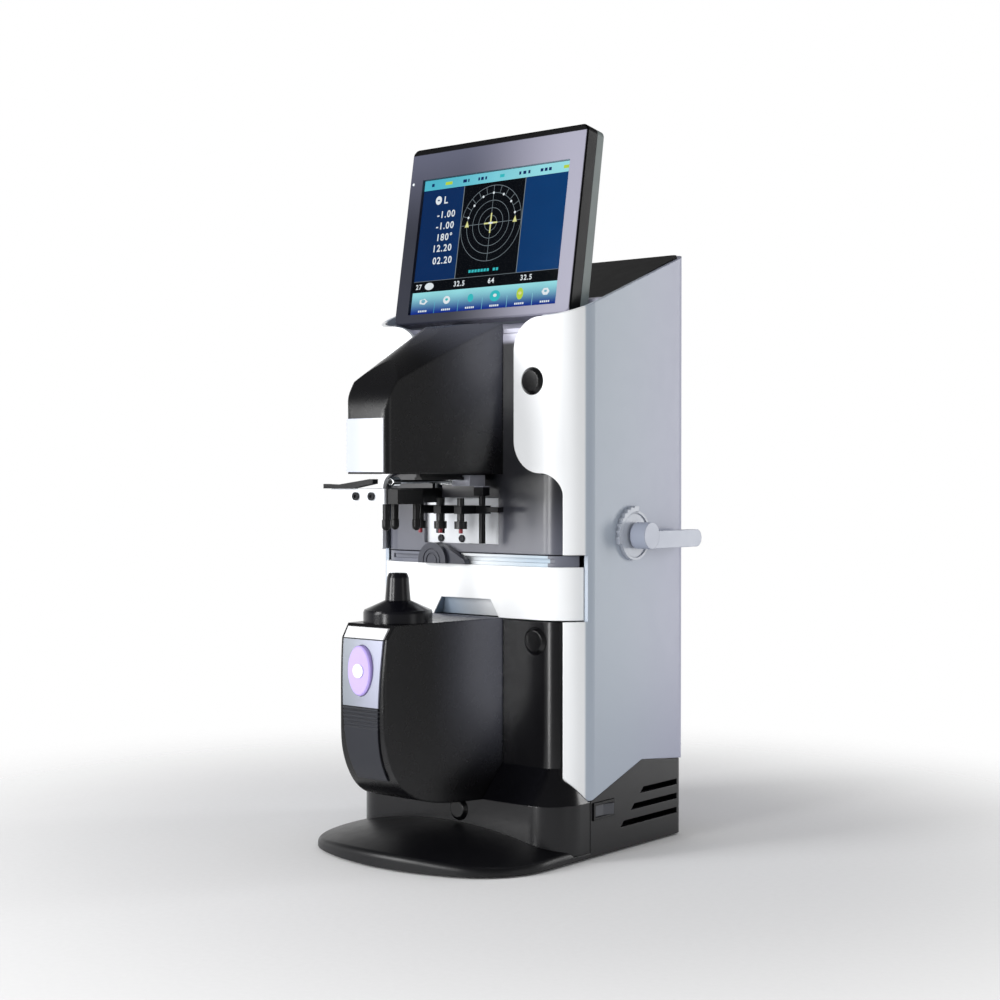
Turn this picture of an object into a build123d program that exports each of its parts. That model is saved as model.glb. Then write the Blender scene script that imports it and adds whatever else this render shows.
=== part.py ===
from build123d import *
from math import atan2, cos, pi, radians, sin, sqrt, tan
import os

os.makedirs("parts", exist_ok=True)

# Auto lensmeter: a desk instrument that measures spectacle lenses.
# X = 0 is the plane of symmetry and -Y is the user's side.
# Z = 0 is the table top that the rubber feet stand on.
# At the end all parts are moved so that the whole's box is centred on the origin. Sizes are in millimetres.

# Driving dimensions: body
body_half = 92.0
body_front = -17.0
body_back = 117.5
body_corner_r = 25.0
body_rear_r = 10.0
wall = 3.0
seam = 0.5
body_top_z0 = 364.9
body_top_slope = 0.382

# Front opening of the white covers
column_half = body_half - 11
column_top_z = 255.0
neck_half = column_half - 38
neck_r = 22.0
column_r = 15.0
black_front = body_front + wall + seam

# Table slot through the body
slot_low = 157.2
slot_high = 201.2
slot_back = 1.4

# Base
floor_gap = 1.5
base_floor = 3.0
base_split_y = black_front + column_r + 2
base_back = body_back - 5
skirt_front = -33.0
skirt_top = 38.0
column_foot = 60.0
apron_depth = 106.0
apron_corner_y = -44.0
apron_front_r = 150.0
apron_rise = 20.5
apron_dome_r = 330.0
apron_dome_y = -25.0
apron_rim_r = 4.0

# Optical axis and the two noses
axis_y = -84.0
head_low = 254.5
head_front = -114.0
head_front_half = 18.2
nose_root_half = neck_half - 12
nose_front = -115.5
nose_front_half = 19.5
nose_top = 158.0
shell = 2.5
head_slope_deg = 30.0
head_crown_r = 40.4

# Nosepiece that carries the lens
dome_r = 22.6
dome_rim = 6.4
dome_top = 172.0
tube_foot_r = 8.4
tube_tip_r = 7.2
tube_tip = 189.9
light_bore_r = 4.0

# Lens table, its rail, its rods and its drive
table_half = body_half - 1
table_front = -16.0
table_corner_r = 30.0
table_low = 158.0
table_high = 193.0
rail_high = 200.4
rod_r = 4.0
gear_x = body_half - 27
rod_x = gear_x - 15
rod_z = 178.0
rod_back = body_back - 19.5
running = 0.05
shaft_y = 51.0
shaft_z = 213.0
gear_module = 1.5
gear_teeth = 38
gear_width = 6.0
slider_x = -25.0
slider_front = -23.0
slider_half = 12.5

# Display
lcd_w = 132.5
lcd_h = 99.4
bezel_side = 12.75
bezel_low = 7.0
bezel_high = 23.6
display_low_y = -3.2
display_low_z = body_top_z0 - 3.9
display_lean = 9.5
frame_deep = 11.0
display_deep_low = 22.0
display_deep_high = 20.5
housing_r = 5.0
hinge_up = 26.0
hinge_behind = 29.0
hinge_pin_r = 3.0

# Measuring bay
bay_x0 = -40.0
bay_x1 = 27.0
bay_low = 207.0
bay_high = 238.5

# Lens retainer
retainer_x = -28.0
retainer_low = 235.0
retainer_high = 245.0
retainer_plate_y = -98.0
retainer_tip = 217.7
retainer_pin_r = 2.4
prong_x = 9.5
post_r = 3.0

# Marking unit
pen_y = -42.0
pen_pitch = 18.0
pen_r = 2.4
pen_tip = 215.0
pen_bar_low = 228.0
pen_bar_high = 233.5
pen_stroke = 20.0
marking_rail_x = 16.0
marking_post_r = 2.2
post_x = marking_rail_x + 8
post_y = pen_y + 15
pull_z = 249.5

# Measure button
button_z = 129.0
button_w = 20.0
button_h = 32.0
button_gap = 0.4

# Small parts of the covers and the base
plug_r = 9.3
plug_x = column_half - 22.3
plug_high_z = 316.0
plug_low_z = 143.8
base_plug_r = 8.0
base_plug_z = 29.2
foot_x = body_half - 26
foot_front_y = -66.0
foot_back_y = base_back - 19
foot_r = 8.0
hinge_x = 36.0
rocker_y0 = 6.0
rocker_y1 = 30.0
rocker_z0 = 25.0
rocker_z1 = 37.0
rocker_pin_r = 1.2
rocker_turn = 15.0

# Display pivot, from the tilted front face
lean = radians(display_lean)
pivot_y = display_low_y + hinge_behind * cos(lean) + hinge_up * sin(lean)
pivot_z = display_low_z + hinge_up * cos(lean) - hinge_behind * sin(lean)

nodes = {}


def block(x, y, z):
    """A box given by its low and high value along each axis."""
    size = [high - low for low, high in (x, y, z)]
    middle = [(high + low) / 2 for low, high in (x, y, z)]
    return Pos(*middle) * Box(*size)


def rod_along_x(y, z, x0, x1, r):
    return Pos((x0 + x1) / 2, y, z) * Rot(0, 90, 0) * Cylinder(r, x1 - x0)


def rod_along_y(x, z, y0, y1, r):
    return Pos(x, (y0 + y1) / 2, z) * Rot(90, 0, 0) * Cylinder(r, y1 - y0)


def rod_along_z(x, y, z0, z1, r):
    return Pos(x, y, (z0 + z1) / 2) * Cylinder(r, z1 - z0)


def side_prism(outline, x0, x1):
    """A face or a list of (Y, Z) points, extruded along X."""
    face = make_face(Polyline(*outline, close=True)) if isinstance(outline, list) else outline
    return extrude(Plane.YZ.offset(x0) * face, x1 - x0)


def front_prism(outline, y0, y1):
    """A face or a list of (X, Z) points, extruded along Y."""
    face = make_face(Polyline(*outline, close=True)) if isinstance(outline, list) else outline
    return extrude(Plane.XZ.offset(-y1) * face, y1 - y0)


def plan(half, front, back, front_r, back_r):
    """A rectangle seen from above, with rounded front and back corners."""
    face = Pos(0, (front + back) / 2) * Rectangle(2 * half, back - front)
    face = fillet(face.vertices().sort_by(Axis.Y)[:2], front_r)
    return fillet(face.vertices().sort_by(Axis.Y)[-2:], back_r)


def upright(face, z0, z1):
    return extrude(Pos(0, 0, z0) * face, z1 - z0)


def mirrored(shape):
    """A shape and its copy on the other side of the plane of symmetry."""
    return shape + mirror(shape, about=Plane.YZ)


def body_top(y):
    """Height of the white covers' sloping top edge."""
    return body_top_z0 + body_top_slope * y


def cover_foot_line(drop):
    """Lower edge of the white covers as (Y, Z) points, lowered by drop."""
    points = [(-34.0, 79.4), (1.0, 39.0), (5.0, 39.0), (62.0, 59.2), (body_back + 6, 53.0)]
    return [(y, z - drop) for y, z in points]


# White covers

def front_opening():
    """Outline of the opening between the white covers, seen from the front."""
    top = body_top(body_front)
    far = neck_half + neck_r + 1
    right = [(column_half, 20), (column_half, column_top_z), (neck_half, column_top_z)]
    right += [(neck_half, top), (far, top), (far, 430)]
    left = [(-x, z) for x, z in reversed(right)]
    face = make_face(Polyline(*right, *left, close=True))
    outer = [v for v in face.vertices() if abs(v.Y - column_top_z) < 1 and abs(v.X) > neck_half + 1]
    face = fillet(outer, column_r)
    inner = [v for v in face.vertices() if abs(abs(v.X) - neck_half) < 0.1]
    return fillet(inner, neck_r)


def side_covers():
    outer = upright(plan(body_half, body_front, body_back, body_corner_r, body_rear_r), 30, 420)
    inner = upright(plan(body_half - wall, body_front + wall, body_back - wall,
                         body_corner_r - wall, body_rear_r - wall), 20, 430)
    top = [(body_back + 6, body_top(body_back + 6)), (-34, body_top(-34))]
    shell_wall = (outer - inner) & side_prism(cover_foot_line(0) + top, -body_half - 8, body_half + 8)
    shell_wall -= front_prism(front_opening(), body_front - 20, body_front + 35)
    rear_half = body_half - 14
    shell_wall -= block((-rear_half, rear_half), (body_back - 20, body_back + 5), (20, 430))
    slot = block((body_half - 32, body_half + 8), (body_front - 5, slot_back), (slot_low, slot_high))
    shell_wall -= mirrored(slot)
    shell_wall -= rod_along_x(shaft_y, shaft_z, body_half - 12, body_half + 8, rod_r + 2)
    halves = shell_wall.solids().sort_by(Axis.X)
    nodes["left_side_cover"] = halves[0]
    nodes["right_side_cover"] = halves[-1]


def screw_head():
    """Round screw head with a cross slot, lying on the plane Z = 0."""
    head = Cylinder(2.6, 1.4, align=(Align.CENTER, Align.CENTER, Align.MIN))
    head = chamfer(head.edges().sort_by(Axis.Z)[-1], 0.5)
    return head - Pos(0, 0, 1.4) * (Box(3.4, 0.8, 1.2) + Box(0.8, 3.4, 1.2))


def rear_cover():
    half = body_half - 14 - seam
    high = body_top(body_back) - 3
    cover = block((-half, half), (body_back - wall, body_back), (59.5, high))
    lip = block((-half - 6, half + 6), (body_back - 2 * wall - 0.3, body_back - wall - 0.3), (66, high - 22))
    lip -= block((-half + 4, half - 4), (body_back - 20, body_back), (72, high - 28))
    web = block((-half + 0.5, half - 0.5), (body_back - wall - 0.3, body_back - wall), (70, high - 24))
    cover += lip + web
    for row in range(9):
        z = 300 + row * 8
        cover -= block((-45, 45), (body_back - 10, body_back + 1), (z, z + 3))
    nodes["rear_cover"] = cover
    screws = []
    for x in (-half + 8, half - 8):
        for z in (80, high - 20):
            screws.append(Pos(x, body_back, z) * Rot(-90, 0, 0) * screw_head())
    return screws


def top_cover():
    half = body_half - wall - 0.4
    ledge = body_top(body_front) - 6.4
    rear = body_back - wall - 0.4
    riser = 22.0
    step = body_top(riser) - 1.4
    line = [(-13.0, ledge), (riser, ledge), (riser, step), (rear, body_top(rear) + 1.6)]
    low = [(rear, body_top(rear) - 14), (rear - wall, body_top(rear) - 14)]
    low += [(rear - wall, body_top(rear) - wall), (riser + wall, step - wall)]
    low += [(riser + wall, ledge - wall), (-13.0, ledge - wall)]
    roof = side_prism(line + low, -half, half)
    corner = upright(plan(half, body_front + wall + 0.4, rear, body_corner_r - wall, body_rear_r - wall), 300, 430)
    roof &= corner
    for x in (-hinge_x, hinge_x):
        roof -= block((x - 9, x + 9), (riser - 4, riser + 20), (ledge - 8, ledge + 40))
    nodes["top_cover"] = roof


def upper_front_cover():
    half = column_half - seam
    back = 15.0
    high = body_top(body_front) - 6.4 - wall - 0.3

    def form(inset, reach, low, top):
        wide = upright(plan(half - inset, black_front + inset, back + reach, column_r - inset, 1), low, column_top_z - seam - inset)
        column = [(half - inset, 190), (half - inset, column_top_z - seam - inset)]
        column += [(-x, z) for x, z in reversed(column)]
        face = make_face(Polyline(*column, close=True))
        face = fillet(face.vertices().sort_by(Axis.Y)[-2:], column_r - inset)
        wide &= front_prism(face, black_front - 5, back + reach + 5)
        neck = neck_half + neck_r - inset
        return wide + upright(plan(neck, black_front + inset, back + reach, 2, 1), column_top_z - 20 + inset, top)

    cover = form(0, 0, slot_high, high) - form(wall, 20, slot_high + wall, high - wall)
    cover -= block((bay_x0, bay_x1), (black_front - 5, black_front + wall + 1), (bay_low, bay_high))
    cover -= block((retainer_x - 4.5, retainer_x + 4.5), (black_front - 5, black_front + wall + 1), (bay_low, 249.5))
    cover -= block((-20, 20), (black_front - 5, black_front + wall + 1), (266, 336))
    nodes["upper_front_cover"] = cover


def bay_plate():
    """Pale plate at the back of the measuring bay, with slots for the arm and the rail."""
    front = black_front + wall + 0.2
    low = slot_high + wall + 0.4
    plate = block((bay_x0 - 4, bay_x1 + 4), (front, front + 2), (low, 250.6))
    plate -= block((retainer_x - 4, retainer_x + 4), (front - 1, front + 3), (213.6, 248.5))
    nodes["bay_plate"] = plate
    return [Pos(x, front, bay_low + 3.2) * Rot(90, 0, 0) * screw_head() for x in (retainer_x + 1, retainer_x + 20)]


# Lower front cover, apron and base

def front_cover_form(inset, reach, low, top):
    """The lower front as a solid: a column that spreads into the skirt, moved in by inset."""
    half = column_half - seam - inset
    back = base_split_y - 0.5 + reach
    foot = plan(body_half - inset, skirt_front + inset, back, body_corner_r - inset, 1)
    head = plan(half, black_front + inset, back, column_r - inset, 1)
    shoulder = loft([Pos(0, 0, skirt_top) * foot, Pos(0, 0, column_foot) * head])
    return upright(head, column_foot, top) + shoulder + upright(foot, low, skirt_top)


def lower_front_cover():
    half = column_half - seam
    low = floor_gap + base_floor + 0.3
    top = slot_low - 0.4
    cover = front_cover_form(0, 0, low, top) - front_cover_form(wall, 20, low - 5, top - wall)
    above = cover_foot_line(seam) + [(body_back + 6, 170), (-34, 170)]
    for side in (1, -1):
        x0, x1 = sorted((side * half, side * (body_half + 18)))
        cover -= side_prism(above, x0, x1)
    cover -= block((-22, 22), (black_front - 3, black_front + wall + 1), (60, 150))
    cover -= rod_along_y(8.6, base_plug_z, skirt_front - 5, skirt_front + 10, base_plug_r - 1.5)
    for x in (-plug_x, plug_x):
        cover -= rod_along_y(x, plug_low_z, black_front - 5, black_front + 10, plug_r - 1.5)
    nodes["lower_front_cover"] = cover


def base_apron():
    # Seen from above: straight sides, two corner arcs and a flatter front arc that meets them smoothly.
    depth = apron_depth + apron_corner_y
    corner_r = (depth * apron_front_r - (body_half ** 2 + depth ** 2) / 2) / (apron_front_r - body_half)
    corner_x = body_half - corner_r
    front_y = apron_front_r - apron_depth
    turn = atan2(apron_corner_y - front_y, corner_x) * 180 / pi
    back_y = base_split_y - 0.3
    edges = [CenterArc((corner_x, apron_corner_y), corner_r, 0, turn)]
    edges.append(CenterArc((0, front_y), apron_front_r, turn, -180 - 2 * turn))
    edges.append(CenterArc((-corner_x, apron_corner_y), corner_r, -180 - turn, turn))
    edges.append(Polyline((-body_half, apron_corner_y), (-body_half, back_y), (body_half, back_y), (body_half, apron_corner_y)))
    plate = upright(make_face(edges), floor_gap, 30)
    plate &= Pos(0, apron_dome_y, apron_rise - apron_dome_r) * Sphere(apron_dome_r)
    rim = [e for e in plate.edges() if e.center().Y < -40 and e.center().Z > floor_gap + 1]
    plate = fillet(rim, apron_rim_r)
    foot = plan(body_half + 1, skirt_front - 0.3, 30, body_corner_r + 0.3, 1)
    plate -= upright(foot, floor_gap + base_floor, 40)
    for x in (-foot_x, foot_x):
        plate -= rod_along_z(x, foot_front_y, 0, floor_gap + 1.5, foot_r + 0.3)
    nodes["base_apron"] = plate


def base_housing():
    half = body_half - 0.3
    tub = block((-half, half), (base_split_y, base_back), (floor_gap, 70))
    tub -= block((-half + wall, half - wall), (base_split_y - 1, base_back - wall), (floor_gap + base_floor, 80))
    rear = tub.edges().filter_by(Axis.Z).filter_by(lambda e: e.center().Y > base_back - 1)
    tub = fillet(rear, 6)
    under = cover_foot_line(seam) + [(body_back + 6, -10), (-34, -10)]
    tub &= side_prism(under, -body_half - 8, body_half + 8)
    slot_end = base_back - 7
    for z, start in ((38.0, 60.5), (28.0, 49.6), (18.0, 37.4)):
        for side in (1, -1):
            x0, x1 = sorted((side * (half - wall - 1), side * (half + 1)))
            tub -= side_prism([(start, z - 2), (start + 4, z + 2), (slot_end, z + 2), (slot_end, z - 2)], x0, x1)
    tub -= block((half - wall - 1, half + 1), (rocker_y0, rocker_y1), (rocker_z0, rocker_z1))
    tub -= block((32 - body_half, 60 - body_half), (base_back - wall - 1, base_back + 1), (18, 39))
    for x in (-foot_x, foot_x):
        tub -= rod_along_z(x, foot_back_y, 0, floor_gap + 1.5, foot_r + 0.3)
    nodes["base_housing"] = tub
    feet = []
    for x in (-foot_x, foot_x):
        for y in (foot_front_y, foot_back_y):
            feet.append(rod_along_z(x, y, 0, floor_gap + 1.5, foot_r))
    nodes["rubber_feet"] = Part() + feet


def screw_plugs():
    """Round plugs that close the screw holes of the front covers."""
    def plug(x, z, face_y, r):
        head = Cone(r, r - 2.5, 2.4, align=(Align.CENTER, Align.CENTER, Align.MIN))
        return Pos(x, face_y, z) * Rot(90, 0, 0) * head + rod_along_y(x, z, face_y, face_y + wall - 0.1, r - 1.9)

    plugs = []
    for x in (-plug_x, plug_x):
        plugs.append(plug(x, plug_high_z, body_front, plug_r))
        plugs.append(plug(x, plug_low_z, black_front, plug_r))
    plugs.append(plug(8.6, base_plug_z, skirt_front, base_plug_r))
    nodes["screw_plugs"] = Part() + plugs
    for name in ("left_side_cover", "right_side_cover"):
        for x in (-plug_x, plug_x):
            nodes[name] = nodes[name] - rod_along_y(x, plug_high_z, body_front - 5, body_front + 10, plug_r - 1.5)


# Chassis and what it carries inside

def chassis():
    low = floor_gap + base_floor
    half = rod_x - 12
    frame = block((14 - body_half, body_half - 14), (8, rod_back + 2), (low, low + 2.5))
    frame += block((-half, half), (20, 23), (low, 340))
    frame += block((-half, half), (20, 60), (340, 343))
    frame += block((8 - body_half, body_half - 8), (23, rod_back), (162, 165))
    for x in (-half, half - 3):
        frame += block((x, x + 3), (23, 70), (low, 162))
        frame += side_prism([(23, 165), (60, 165), (60, 340), (23, 340)], x, x + 3)
    for x in (1.5 - half, half - 1.5):
        for z in (210, 320):
            frame += rod_along_y(x, z, 60, 64, 3)
    frame += hinge_ears()
    nodes["chassis_frame"] = frame
    nodes["head_arm"] = arm_channel(268, 302, -103, 14)
    nodes["nose_arm"] = arm_channel(66, 92, -100, 14)


def arm_channel(z0, z1, front, half):
    """A folded channel that reaches from the chassis into a nose."""
    arm = block((-half, half), (front, 20), (z0, z1))
    arm -= block((-half + 2.5, half - 2.5), (front + 2.5, 25), (z0 + 2.5, z1 + 5))
    arm -= rod_along_z(0, axis_y, z0 - 5, z0 + 5, 9)
    return arm


def inner_units():
    low = floor_gap + base_floor + 2.5
    nodes["power_supply"] = block((-25, 50), (72, rod_back + 1), (low, low + 36))
    nodes["main_board"] = block((32 - body_half, body_half - 32), (64, 65.6), (200, 330))
    barrel = rod_along_z(0, axis_y, 259, 268, 9.5) + rod_along_z(0, axis_y, 271.0, 299, 8.5)
    barrel += rod_along_z(0, axis_y, 268, 271, 8.5)
    nodes["light_source"] = barrel
    nodes["upper_window"] = rod_along_z(0, axis_y, head_low + 1.0, head_low + 3.0, 8.9)
    camera = rod_along_z(0, axis_y, 94.5, 150, 11) + block((-11.5, 11.5), (axis_y - 16, axis_y + 16), (92, 94.5))
    nodes["sensor_module"] = camera
    middle = 46 - body_half
    inlet = block((middle - 13.6, middle + 13.6), (base_back - 22, base_back + 1.2), (18.4, 38.6))
    inlet -= block((middle - 11, middle + 11), (base_back - 14, base_back + 2), (21.2, 35.8))
    for x, z in ((middle, 31.5), (middle - 5, 26), (middle + 5, 26)):
        inlet += block((x - 1, x + 1), (base_back - 14, base_back - 5), (z - 2.5, z + 2.5))
    nodes["power_inlet"] = inlet


# Upper nose

def tapered_plan(front, half, root, inset, corner):
    """Plan of a nose: narrow and rounded in front, wide where it meets the body."""
    slope = (nose_root_half - half) / (root - front)
    shift = inset * sqrt(1 + slope ** 2)
    y0 = front + inset
    w0 = half + slope * inset - shift
    w1 = nose_root_half - shift + slope * inset
    y1 = root + inset
    face = make_face(Polyline((-w0, y0), (w0, y0), (w1, y1), (-w1, y1), close=True))
    return fillet(face.vertices().sort_by(Axis.Y)[:2], corner)


def head_form(inset):
    """The upper nose as a solid: side outline, tapering plan and crowned top."""
    root = black_front - 0.3
    front = head_front
    low = head_low - (5 if inset else 0)
    brow = front + inset
    top = Spline((brow, 291 - inset), (brow + 2.1, 302.3 - inset), (brow + 9.2, 314.2 - inset), (-97, 322.8 - inset),
                 (-73, 338.3 - inset), (-53.5, 348.6 - inset), (-37, 354.4 - inset), tangents=[(0, 1), (1, 0.2)])
    back = root + (5 if inset else 0)
    nose = Polyline((-37, 354.4 - inset), (back, 355.6 - inset), (back, low), (brow, low), (brow, 291 - inset))
    side = side_prism(make_face([top, nose]), -nose_root_half - 14, nose_root_half + 14)
    form = side & upright(tapered_plan(front, head_front_half, root, inset, 5 - inset), low, 380)
    tilt = radians(head_slope_deg)
    crown_y, crown_z = -73.0, 338.3
    centre_y = crown_y + head_crown_r * sin(tilt)
    centre_z = crown_z - head_crown_r * cos(tilt)
    roll = Pos(0, centre_y, centre_z) * Rot(90 + head_slope_deg, 0, 0) * Cylinder(head_crown_r - inset, 400)
    under = upright(Rectangle(200, 600), low, 300)
    return form & (roll + under)


def head():
    cover = head_form(0) - head_form(shell)
    nodes["head_cover"] = cover
    half = head_front_half - 2.2
    insert = front_prism([(-half, head_low + 1.2), (half, head_low + 1.2), (half, 290), (-half, 290)],
                         head_front - 1.2, head_front)
    nodes["head_front_insert"] = insert
    back = black_front - 0.5
    outline = tapered_plan(head_front, head_front_half, back, shell + 0.3, 2.5)
    plate = upright(outline, head_low + 1, head_low + 4)
    plate &= block((-60, 60), (-200, back), (0, 400))
    plate -= rod_along_z(0, axis_y, head_low, head_low + 5, 9.0)
    plate += marking_rail(0, -82, back)
    nodes["head_underplate"] = plate


def marking_rail(grow, y0, y1):
    """T-shaped rail under the head, grown by grow to cut its running slot."""
    x = marking_rail_x
    stem = block((x - 1.5 - grow, x + 1.5 + grow), (y0, y1), (head_low - 2.4, head_low + 1 + grow))
    return stem + block((x - 3 - grow, x + 3 + grow), (y0, y1), (head_low - 3.9 - grow, head_low - 2.2 + grow))


# Lower nose

def nose_form(grow):
    """The lower nose as a solid, grown outwards by grow (negative for the hollow)."""
    root = black_front - 0.3
    back = root if grow >= 0 else root + 5
    low_shift = -grow
    front = nose_front - grow
    belly = Spline((front, 149), (front - 2.2, 122), (front - 2.4, 96), (front + 1.8, 72),
                   (-97.5 - grow * 0.7, 49.4 + low_shift * 0.7), (-75, 41.0 + low_shift),
                   (-45, 38.3 + low_shift), (back, 37.0 + low_shift), tangents=[(-0.12, -1), (1, -0.04)])
    top = Polyline((back, 37.0 + low_shift), (back, nose_top + grow), (front + 6.5, nose_top + grow), (front, 149))
    side = side_prism(make_face([belly, top]), -nose_root_half - 14, nose_root_half + 14)
    plan_face = tapered_plan(nose_front - 4, nose_front_half, root, -grow, max(5.0 + grow, 2.0))
    return side & upright(plan_face, 0, 200) & block((-60, 60), (-200, back), (0, 200))


def insert_outline(low, high, grow):
    """Trapezoid on the front of the lower nose, between two heights."""
    def half(z):
        return 14.2 + (z - 80) * 0.045 + grow
    return [(-half(low), low - grow), (half(low), low - grow), (half(high), high + grow), (-half(high), high + grow)]


def lower_nose():
    solid = nose_form(0) - front_cover_form(-0.3, 0, 10, 150)
    step = front_cover_form(-0.3 - shell, 0, 10, 150) & block((-100, 100), (-60, 10), (0, column_foot + 2))
    hollow = nose_form(-shell) - step
    cover = solid - hollow
    hole = button_face(button_gap)
    cover -= front_prism(hole, nose_front - 15, nose_front + 8)
    cover -= rod_along_z(0, axis_y, nose_top - 5, nose_top + 5, 11.5)
    nodes["lower_nose_cover"] = cover
    skin = nose_form(1.2) - solid
    panel = skin & front_prism(insert_outline(106, 156.2, 0), -200, nose_front + 7)
    panel -= front_prism(hole, nose_front - 15, nose_front + 8)
    nodes["nose_front_insert"] = panel
    lower = skin & front_prism(insert_outline(58, 105.4, 0), -200, nose_front + 20)
    for row in range(5):
        z = 92.6 + row * 2.6
        lower -= block((-30, 30), (nose_front - 8, nose_front - 3.0), (z, z + 1.0))
    nodes["nose_lower_panel"] = lower


def button_face(grow):
    """Outline of the oval measure button, seen from the front."""
    return Pos(0, button_z) * Ellipse(button_w / 2 + grow, button_h / 2 + grow)


def measure_button():
    front = nose_front - 5.6
    cap = front_prism(button_face(0), front, nose_front + 4)
    rim = cap.edges().filter_by(lambda e: abs(e.center().Y - front) < 0.1)
    cap = chamfer(rim, 0.9)
    cap += front_prism(button_face(2.0), nose_front + 4, nose_front + 6)
    cap += rod_along_y(0, button_z, front - 0.6, front + 1, 4.5)
    nodes["measure_button"] = cap
    switch = block((-3, 3), (nose_front + 8.0, nose_front + 10), (button_z - 3, button_z + 3))
    switch += block((-7, 7), (nose_front + 10, axis_y - 11.3), (button_z - 8, button_z + 8))
    nodes["measure_switch"] = switch


def nosepiece():
    base = nose_top
    rim = base + dome_rim
    profile = Polyline((6.0, base), (dome_r, base), (dome_r, rim))
    close = Polyline((dome_r, rim), (dome_r - 0.7, rim + 1.7), (dome_r - 2.4, rim + 2.4),
                     (tube_foot_r + 0.4, dome_top), (6.0, dome_top), (6.0, base))
    face = make_face([profile, close])
    dome = Pos(0, axis_y, 0) * revolve(Plane.XZ * face, Axis.Z)
    nodes["nosepiece_flange"] = dome
    tube_line = [(light_bore_r, dome_top - 8), (5.9, dome_top - 8), (5.9, dome_top), (tube_foot_r, dome_top)]
    tube_line += [(tube_tip_r, tube_tip - 3), (tube_tip_r - 1.2, tube_tip), (light_bore_r, tube_tip)]
    tube = make_face(Polyline(*tube_line, close=True))
    nodes["nosepiece"] = Pos(0, axis_y, 0) * revolve(Plane.XZ * tube, Axis.Z)


# Lens table

def lens_table():
    outline = plan(table_half, table_front, 80, table_corner_r, 2)
    ahead = block((-body_half - 8, body_half + 8), (-60, 1.0), (0, 300))
    band = upright(outline, table_low, table_high) & ahead
    inner = plan(table_half - wall, table_front + wall, 80, table_corner_r - wall, 2)
    hollow = upright(inner, table_low + wall, table_high - wall)
    hollow -= block((12 - rod_x, rod_x - 12), (-60, 60), (0, 300))
    band -= hollow
    notch = [(-30, table_low - 1), (30, table_low - 1), (22, table_low + 12), (-22, table_low + 12)]
    pocket = front_prism(notch, table_front - 5, table_front + 11)
    ramp = side_prism([(table_front - 6, table_low - 2), (table_front + 11, table_low - 2),
                       (table_front + 3, table_low + 13), (table_front - 6, table_low + 13)], -40, 40)
    band -= pocket & ramp
    nodes["lens_table"] = band
    deck = upright(plan(table_half - 3, table_front + 3.5, 80, table_corner_r - 3, 2), table_high, rail_high) & ahead
    deck -= block((19 - table_half, table_half - 19), (table_front, table_front + 7), (195.5, 198.5))
    nodes["pd_rail"] = deck
    back = block((7 - table_half, table_half - 7), (1.0, 5.0), (table_low + 3, table_high - 3))
    rack_top = shaft_z - gear_module * (gear_teeth / 2 + 1.25)
    back += block((gear_x - 8, gear_x + 8), (5.0, 12.0), (rack_top - 10, rack_top))
    nodes["table_carriage"] = back
    rods = [rod_along_y(x, rod_z, 5.0, rod_back, rod_r) for x in (-rod_x, rod_x)]
    nodes["table_guide_rods"] = Part() + rods
    guides = []
    for x in (-rod_x, rod_x):
        guide = block((x - 9, x + 9), (24, 64), (165, 188))
        guides.append(guide - rod_along_y(x, rod_z, 20, 70, rod_r + running))
    nodes["table_guides"] = Part() + guides


def pd_slider():
    low = table_high + 0.3
    face = make_face([Polyline((slider_half, low + 2), (slider_half, low), (-slider_half, low), (-slider_half, low + 2)),
                      ThreePointArc((-slider_half, low + 2), (0, low + 14.2), (slider_half, low + 2))])
    back = black_front - 0.3
    pad = front_prism(face, slider_front, back)
    for r in (5.0, 8.0):
        ring = front_prism(Circle(r) - Circle(r - 0.9), slider_front - 0.1, slider_front + 0.6)
        pad -= Pos(0, 0, low + 2) * ring
    wing = front_prism([(slider_half - 2, low), (slider_half + 15, low), (slider_half + 14, low + 3.0), (slider_half - 5, low + 12.6)],
                       slider_front + 3, back)
    pad += wing
    tongue = block((-slider_half + 1, slider_half - 1), (back, table_front + 6.6), (195.6, 198.4))
    nodes["pd_slider"] = Pos(slider_x, 0, 0) * (pad + tongue)


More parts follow.
